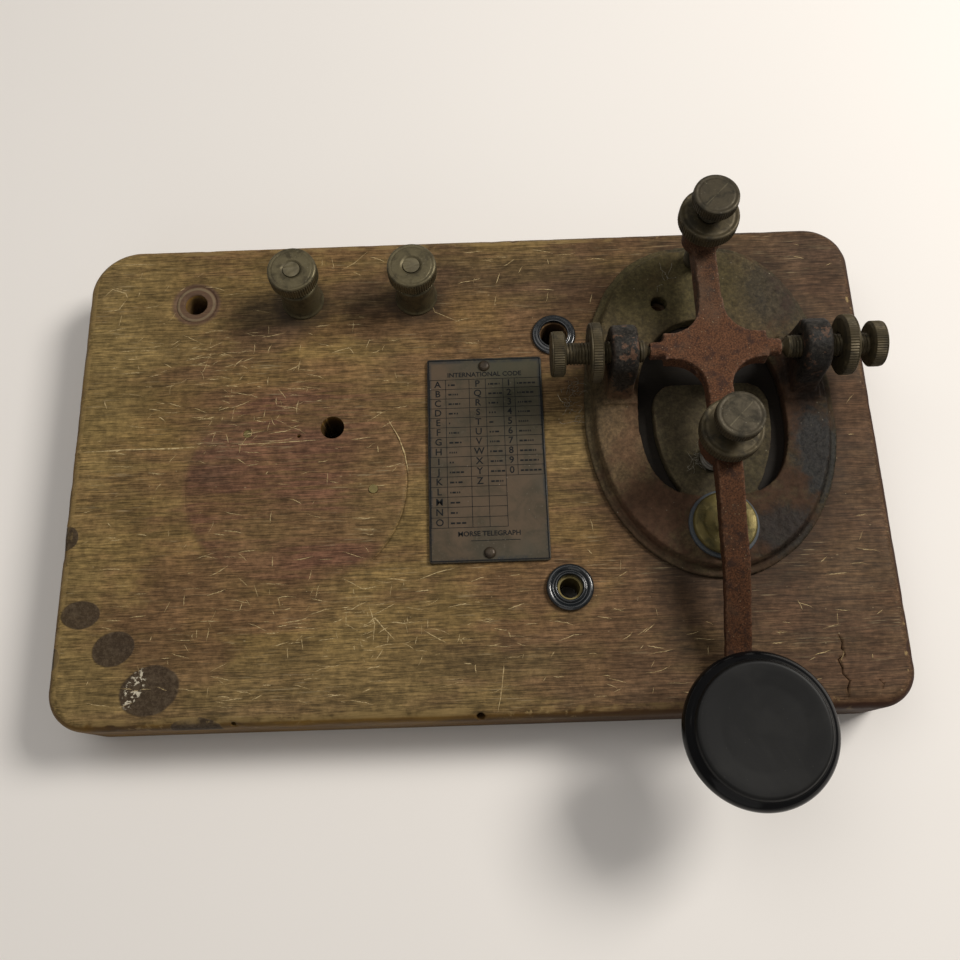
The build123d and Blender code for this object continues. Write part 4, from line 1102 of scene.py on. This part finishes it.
def make_plate():
    """The sheet, and its table, border and headings in raised ink."""
    low = plate_low / MM
    high = plate_high / MM
    middle_x = (low.x + high.x) / 2
    middle_y = (low.y + high.y) / 2
    slab = rounded_slab(
        "plate_draft", high - low, (0.8,) * 4, 0.18, 0.1, 0.45, plate_wear, low.z, (middle_x, middle_y)
    )
    cut_slab(slab, "code_plate", "code_plate_sheet", PLATE, 45)

    ink = bmesh.new()
    foot, head = high.z - 0.12, high.z + 0.012
    top_row = high.y - 5.9
    table_low = top_row - ROW_STEP * ROW_COUNT
    for number, offset in enumerate(COLUMNS):
        length = ROW_STEP * (SHORT_ROW_COUNT if number >= 5 else ROW_COUNT)
        bar(ink, low.x + offset, top_row - length / 2, LINE_W, length, foot, head)
    for row in range(ROW_COUNT + 1):
        right = COLUMNS[-1] if row <= SHORT_ROW_COUNT else COLUMNS[4]
        centre_x = low.x + (COLUMNS[0] + right) / 2
        bar(ink, centre_x, top_row - ROW_STEP * row, right - COLUMNS[0], 0.11, foot, head)
    wide, tall = high.x - low.x - 1.0, high.y - low.y - 1.0
    for side in (-1, 1):
        bar(ink, middle_x + side * wide / 2, middle_y, BORDER_W, tall, foot, head)
        bar(ink, middle_x, middle_y + side * tall / 2, wide, BORDER_W, foot, head)
    letter_mesh(ink, "INTERNATIONAL CODE", middle_x, top_row + 1.25, TITLE_SIZE, high.z - LETTER_SINK)
    letter_mesh(ink, "MORSE TELEGRAPH", middle_x, table_low - 1.7, TITLE_SIZE, high.z - LETTER_SINK)
    bar(ink, middle_x + 1.5, table_low - 3.4, 12.0, 0.13, foot, head)
    for first, letter_column, code_column, count in BLOCKS:
        for row in range(count):
            y = top_row - ROW_STEP * (row + 0.5)
            x = low.x + (COLUMNS[letter_column] + COLUMNS[letter_column + 1]) / 2
            letter_mesh(ink, SIGNS[first + row], x, y, SIGN_SIZE, high.z - LETTER_SINK)
            code = CODES[first + row]
            x = low.x + COLUMNS[code_column] + 0.65
            unit = 0.27 if len(code) > 3 else 0.34
            for mark in code:
                wide = unit * (3 if mark == "-" else 1)
                bar(ink, x + wide / 2, y - 0.15, wide, 0.42, foot, head)
                x += wide + unit
    ride(to_object("code_plate_ink", ink, INK, 30), "board")


# ---------------------------------------------------------------- turned pieces
def turned(node, kind, body, material, profile, radius, segments=96, steps=3, sharp=35.0, over=None, **form):
    """A turned piece in place of a CAD node, upright over its own centre or another node's."""
    shape = bmesh.new()
    lathe(shape, upright(over or node), soften(profile, radius, steps), segments, **form)
    swap(to_object(f"{node}_{kind}", shape, material, sharp), body, node)


def make_vertical_screw(node, shaft_from_end, tip_r, end_r, end_foot_r):
    """A knurled screw with its thread, upright on the lever, over a plain end."""
    end, top = heights(node)
    shaft_low = end + shaft_from_end
    head_low = top - HEAD_T
    place = upright(node)
    shape = bmesh.new()
    head = [(r, h + head_low, cut) for r, h, cut in knurled_head(HEAD_R, HEAD_T)]
    lathe(shape, place, head, teeth=HEAD_TEETH)
    thread(shape, place, shaft_low, head_low + 0.3)
    lathe(shape, place, soften([(tip_r, end), (end_foot_r, end), (end_r, shaft_low + 0.2)], 0.3), 40)
    swap(to_object(node + "_turned", shape, HEAD_METAL), node, node)


def make_lock_nut(node, direction):
    """A knurled lock nut on a screw."""
    low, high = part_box(node)
    along = Vector(direction)
    thick = abs((high - low).dot(along)) / MM
    place = place_at(middle(node) - along * thick * MM / 2, direction)
    shape = bmesh.new()
    lathe(shape, place, knurled_ring(NUT_R, thick, NUT_BORE), teeth=NUT_TEETH, hollow=True)
    swap(to_object(node + "_turned", shape, NUT_METAL), node, node)


def make_trunnion(node, side):
    """A knurled screw with a cone and a pivot pin; side is +1 when it points along +X."""
    low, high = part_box(node)
    head_out, tip = (low.x, high.x) if side > 0 else (high.x, low.x)
    length = abs(tip - head_out) / MM
    place = place_at((head_out, PIVOT_Y, PIVOT_Z), (side, 0, 0))
    shape = bmesh.new()
    head = [(r, HEAD_T - h, cut) for r, h, cut in knurled_head(HEAD_R, HEAD_T)]
    lathe(shape, place, head[::-1], teeth=HEAD_TEETH)
    cone = length - 4.4
    thread(shape, place, 3.2, cone)
    point = [(2.3, cone - 0.3), (2.4, cone), (1.12, cone + 1.0), (1.05, length - 0.3), (0.4, length - 0.1)]
    lathe(shape, place, soften(point, 0.2), 40)
    swap(to_object(node + "_turned", shape, NUT_METAL), node, node)


def make_post(side):
    """A binding post: a plain barrel under a knurled nut, with the screw's end in it."""
    body, nut, screw = (f"terminal_{part}_{side}" for part in ("body", "nut", "screw"))
    foot, top = heights(body)
    profile = [(2.3, foot), (5.55, foot), (5.58, foot + 0.5), (5.2, foot + 1.1), (5.02, foot + 3.0)]
    profile += [(4.98, top - 3.0), (5.15, top - 0.9), (5.15, top - 0.4), (4.8, top), (2.3, top)]
    turned(body, "turned", "board", POST_METAL, profile, 0.35, 80, hollow=True)
    foot, top = heights(nut)
    profile = [(2.25, foot + 2.0), (2.25, foot), (4.3, foot), (4.6, foot + 0.35), (4.35, foot + 0.9)]
    profile += [(4.7, foot + 1.3), (5.9, foot + 1.6), (6.18, foot + 2.0), (6.22, foot + 2.15, POST_KNURL)]
    profile += [(6.22, top - 0.75, POST_KNURL), (6.0, top - 0.6), (6.12, top - 0.32), (5.7, top - 0.03)]
    profile += [(5.15, top - 0.16), (4.9, top - 0.06), (2.75, top - 0.06), (2.25, top - 0.40)]
    turned(nut, "turned", nut, POST_METAL, profile, 0.22, over=body, teeth=POST_TEETH, hollow=True)
    paint(NODES[screw], POST_METAL)


def make_knob():
    """The knob: a waisted underside, a round rim and a slightly dished face."""
    foot, top = heights("knob")
    profile = [(2.2, foot + 9.0), (2.2, foot), (9.0, foot), (9.2, foot + 1.2), (10.2, foot + 2.8)]
    profile += [(12.4, foot + 4.6), (14.6, foot + 6.3), (15.9, foot + 8.0), (16.55, foot + 9.4)]
    profile += [(16.6, foot + 10.4), (16.2, foot + 11.4), (15.4, foot + 12.2), (14.85, foot + 12.5)]
    profile += [(14.6, foot + 12.72), (14.35, foot + 12.9), (14.22, foot + 13.3), (13.95, top - 0.12)]
    profile += [(13.5, top - 0.02), (12.4, top - 0.06), (9.0, top - 0.30), (4.0, top - 0.46)]
    profile += [(0.6, top - 0.50)]
    turned("knob", "turned", "lever", KNOB, profile, 0.5, 128, steps=4, sharp=50)


def make_lower_contact():
    """The brass disc with its raised point and stud, on a fibre washer."""
    end, top = heights("contact_stud")
    washer_low, washer_top = heights("contact_washer")
    face = washer_top + 1.7
    profile = [(2.05, end), (2.05, washer_top + 0.02), (6.9, washer_top + 0.02), (7.6, washer_top + 0.35)]
    profile += [(7.62, face - 0.55), (7.2, face - 0.08), (5.4, face - 0.03), (4.9, face - 0.14)]
    profile += [(2.6, face - 0.12), (2.1, face + 0.05), (1.65, face + 0.3), (1.5, top - 0.1)]
    profile += [(0.9, top - 0.01), (0.3, top)]
    turned("contact_stud", "turned", "board", DISC_METAL, profile, 0.25)
    profile = [(2.25, washer_low + 0.5), (2.25, washer_low), (8.35, washer_low), (8.45, washer_low + 0.3)]
    profile += [(8.35, washer_top - 0.1), (8.0, washer_top), (2.25, washer_top)]
    turned("contact_washer", "pressed", "board", FIBRE, profile, 0.15, over="contact_stud", hollow=True)


def make_jack():
    """The black bushing of the jack, and the flat black ring round the empty jack hole."""
    low, top = heights("jack_bushing")
    profile = [(2.96, low + 1.0), (2.96, low), (4.25, low), (4.25, BOARD_T - 0.01), (5.6, BOARD_T - 0.01)]
    profile += [(5.75, BOARD_T + 0.4), (5.62, BOARD_T + 0.95), (5.1, top - 0.02), (4.7, top - 0.1)]
    profile += [(4.1, BOARD_T + 0.62), (3.85, BOARD_T + 0.68), (3.6, top - 0.12), (3.3, top - 0.06)]
    profile += [(3.02, BOARD_T + 0.8), (2.96, BOARD_T - 0.2)]
    turned("jack_bushing", "moulded", "board", GLOSS, profile, 0.3, hollow=True)
    low, top = heights("board_washer")
    profile = [(3.62, BOARD_T + 0.5), (3.62, BOARD_T), (5.7, BOARD_T), (5.74, BOARD_T + 0.35)]
    profile += [(5.35, BOARD_T + 0.85), (4.6, BOARD_T + 0.8), (4.15, BOARD_T + 0.85)]
    profile += [(3.95, top - 0.04), (3.70, top - 0.08)]
    turned("board_washer", "moulded", "board", GLOSS, profile, 0.25, hollow=True)


def make_pins():
    """The two domed pins of the code plate, as one piece."""
    low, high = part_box("plate_pins")
    radius = (high.x - low.x) / 2 / MM
    top = high.z / MM
    profile = [(0.7, top - 8.8), (0.75, top - 0.9), (radius - 0.05, top - 0.80), (radius - 0.06, top - 0.62)]
    profile += [(radius - 0.3, top - 0.25), (0.8, top - 0.05), (0.2, top - 0.01)]
    shape = bmesh.new()
    for y in (low.y / MM + radius, high.y / MM - radius):
        lathe(shape, place_at(((low.x + high.x) / 2, y * MM, 0)), soften(profile, 0.2), 40)
    swap(to_object("plate_pins_domed", shape, PIN_METAL), "board", "plate_pins")


def make_spring(turns=7.5, wire=0.42, sides=10, steps_a_turn=40):
    """A coil with flat closed ends, swept from its helix, that the lever presses."""
    low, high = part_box("lever_spring")
    centre = (low + high) / 2
    clear = 0.45
    radius = (high.x - low.x) / 2 / MM - clear
    foot = low.z / MM + clear
    reach = high.z / MM - clear - foot
    steps = int(turns * steps_a_turn)
    shape = bmesh.new()
    loops = []
    for k in range(steps + 1):
        t = k / steps
        # the first and last turns lie flat
        rise = min(max((t * turns - 0.9) / (turns - 1.8), 0.0), 1.0)
        first, last = min(t * turns, 1), max(0, t * turns - turns + 1)
        height = foot + reach * (0.035 * first + 0.93 * rise + 0.035 * last)
        a = 2 * math.pi * turns * t
        out = Vector((math.cos(a), math.sin(a), 0))
        spot = Vector((radius * math.cos(a), radius * math.sin(a), height))
        loop = []
        for i in range(sides):
            b = 2 * math.pi * i / sides
            corner = spot + out * wire * math.cos(b) + Vector((0, 0, wire * math.sin(b)))
            loop.append(shape.verts.new(corner * MM))
        loops.append(loop)
    skin(shape, loops)
    shape.transform(Matrix.Translation((centre.x, centre.y, 0)))
    coil = swap(to_object("lever_spring_coil", shape, STEEL, 60), "board", "lever_spring")
    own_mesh(coil)


# ---------------------------------------------------------------- build
make_board()
make_scratches()
make_lint()
make_plate()
forged("lever_forged", "lever", "lever", RUST, 0.36, ((0.35, 0.10), (1.3, 0.07), (3.0, 0.03)))
forged("key_base_cast", "key_base", "board", CASTING, 0.40, ((0.16, 0.14), (0.7, 0.10), (1.8, 0.06)))
make_vertical_screw("gap_screw", 1.0, 0.4, 2.45, 1.9)
make_vertical_screw("tension_screw", 6.0, 0.3, PILOT_R, PILOT_R)
for screw in ("gap", "tension"):
    make_lock_nut(screw + "_nut", (0, 0, 1))
for side, way in (("left", 1), ("right", -1)):
    make_lock_nut("trunnion_nut_" + side, (-way, 0, 0))
for side, way in (("left", 1), ("right", -1)):
    make_trunnion("trunnion_screw_" + side, way)
make_post("left")
make_post("right")
make_knob()
make_lower_contact()
make_jack()
make_pins()
make_spring()

for node, material in (
    ("contact_sleeve", FIBRE),
    ("contact_under_washer", DISC_METAL),
    ("contact_nut", DISC_METAL),
    ("base_screw", STEEL),
    ("strap_contact", DISC_METAL),
    ("strap_base", DISC_METAL),
    ("jack_sleeve", DISC_METAL),
    ("screw_remnants", DISC_METAL),
    ("lever_contact", DISC_METAL),
    ("knob_screw", STEEL),
):
    paint(NODES[node], material)

# ---------------------------------------------------------------- floor, light and camera
floor_shape = bmesh.new()
bmesh.ops.create_grid(floor_shape, x_segments=1, y_segments=1, size=3.0)
floor_paint = Surface("pale_floor", specular=0.2)
floor_paint.colour = floor_paint.mix((0.86, 0.83, 0.80), (0.90, 0.87, 0.84), floor_paint.noise(6, 2))
floor = to_object("floor", floor_shape, floor_paint.finish(0.85))
floor.location.z = cad_low.z - 0.0002

world = bpy.data.worlds.new("studio")
bpy.context.scene.world = world
world.use_nodes = True
world.node_tree.nodes["Background"].inputs["Color"].default_value = (1.0, 0.97, 0.93, 1)
world.node_tree.nodes["Background"].inputs["Strength"].default_value = 0.17


def softbox(name, spot, target, size, watts, tint):
    """A square area light that faces a target."""
    data = bpy.data.lights.new(name, "AREA")
    data.energy = watts
    data.size = size
    data.color = tint
    obj = bpy.data.objects.new(name, data)
    obj.location = spot
    obj.rotation_euler = (Vector(target) - Vector(spot)).to_track_quat("-Z", "Y").to_euler()
    bpy.context.scene.collection.objects.link(obj)


# name, place, target, size in metres, watts and tint
softbox("window", (0.50, 0.22, 0.60), (0, 0, 0), 0.26, 5.0, (1.0, 0.96, 0.90))
softbox("overhead", (-0.25, 0.20, 0.85), (0, 0, 0), 0.7, 1.9, (1.0, 0.97, 0.93))
softbox("front_fill", (-0.15, -0.75, 0.35), (0, 0, 0.02), 0.6, 0.5, (1.0, 0.96, 0.92))

camera_data = bpy.data.cameras.new("photo_view")
camera_data.sensor_width = 36.0
camera_data.lens = 36.16
camera_data.clip_start = 0.01
camera = bpy.data.objects.new("photo_view", camera_data)
camera.matrix_world = (
    Matrix.Translation((0.0033, -0.0809, 0.2462))
    @ Matrix.Rotation(math.radians(-1.67), 4, "Z")
    @ Matrix.Rotation(math.radians(1.01), 4, "Y")
    @ Matrix.Rotation(math.radians(18.32), 4, "X")
)
bpy.context.scene.collection.objects.link(camera)
bpy.context.scene.camera = camera
bpy.context.scene.view_settings.view_transform = "Standard"
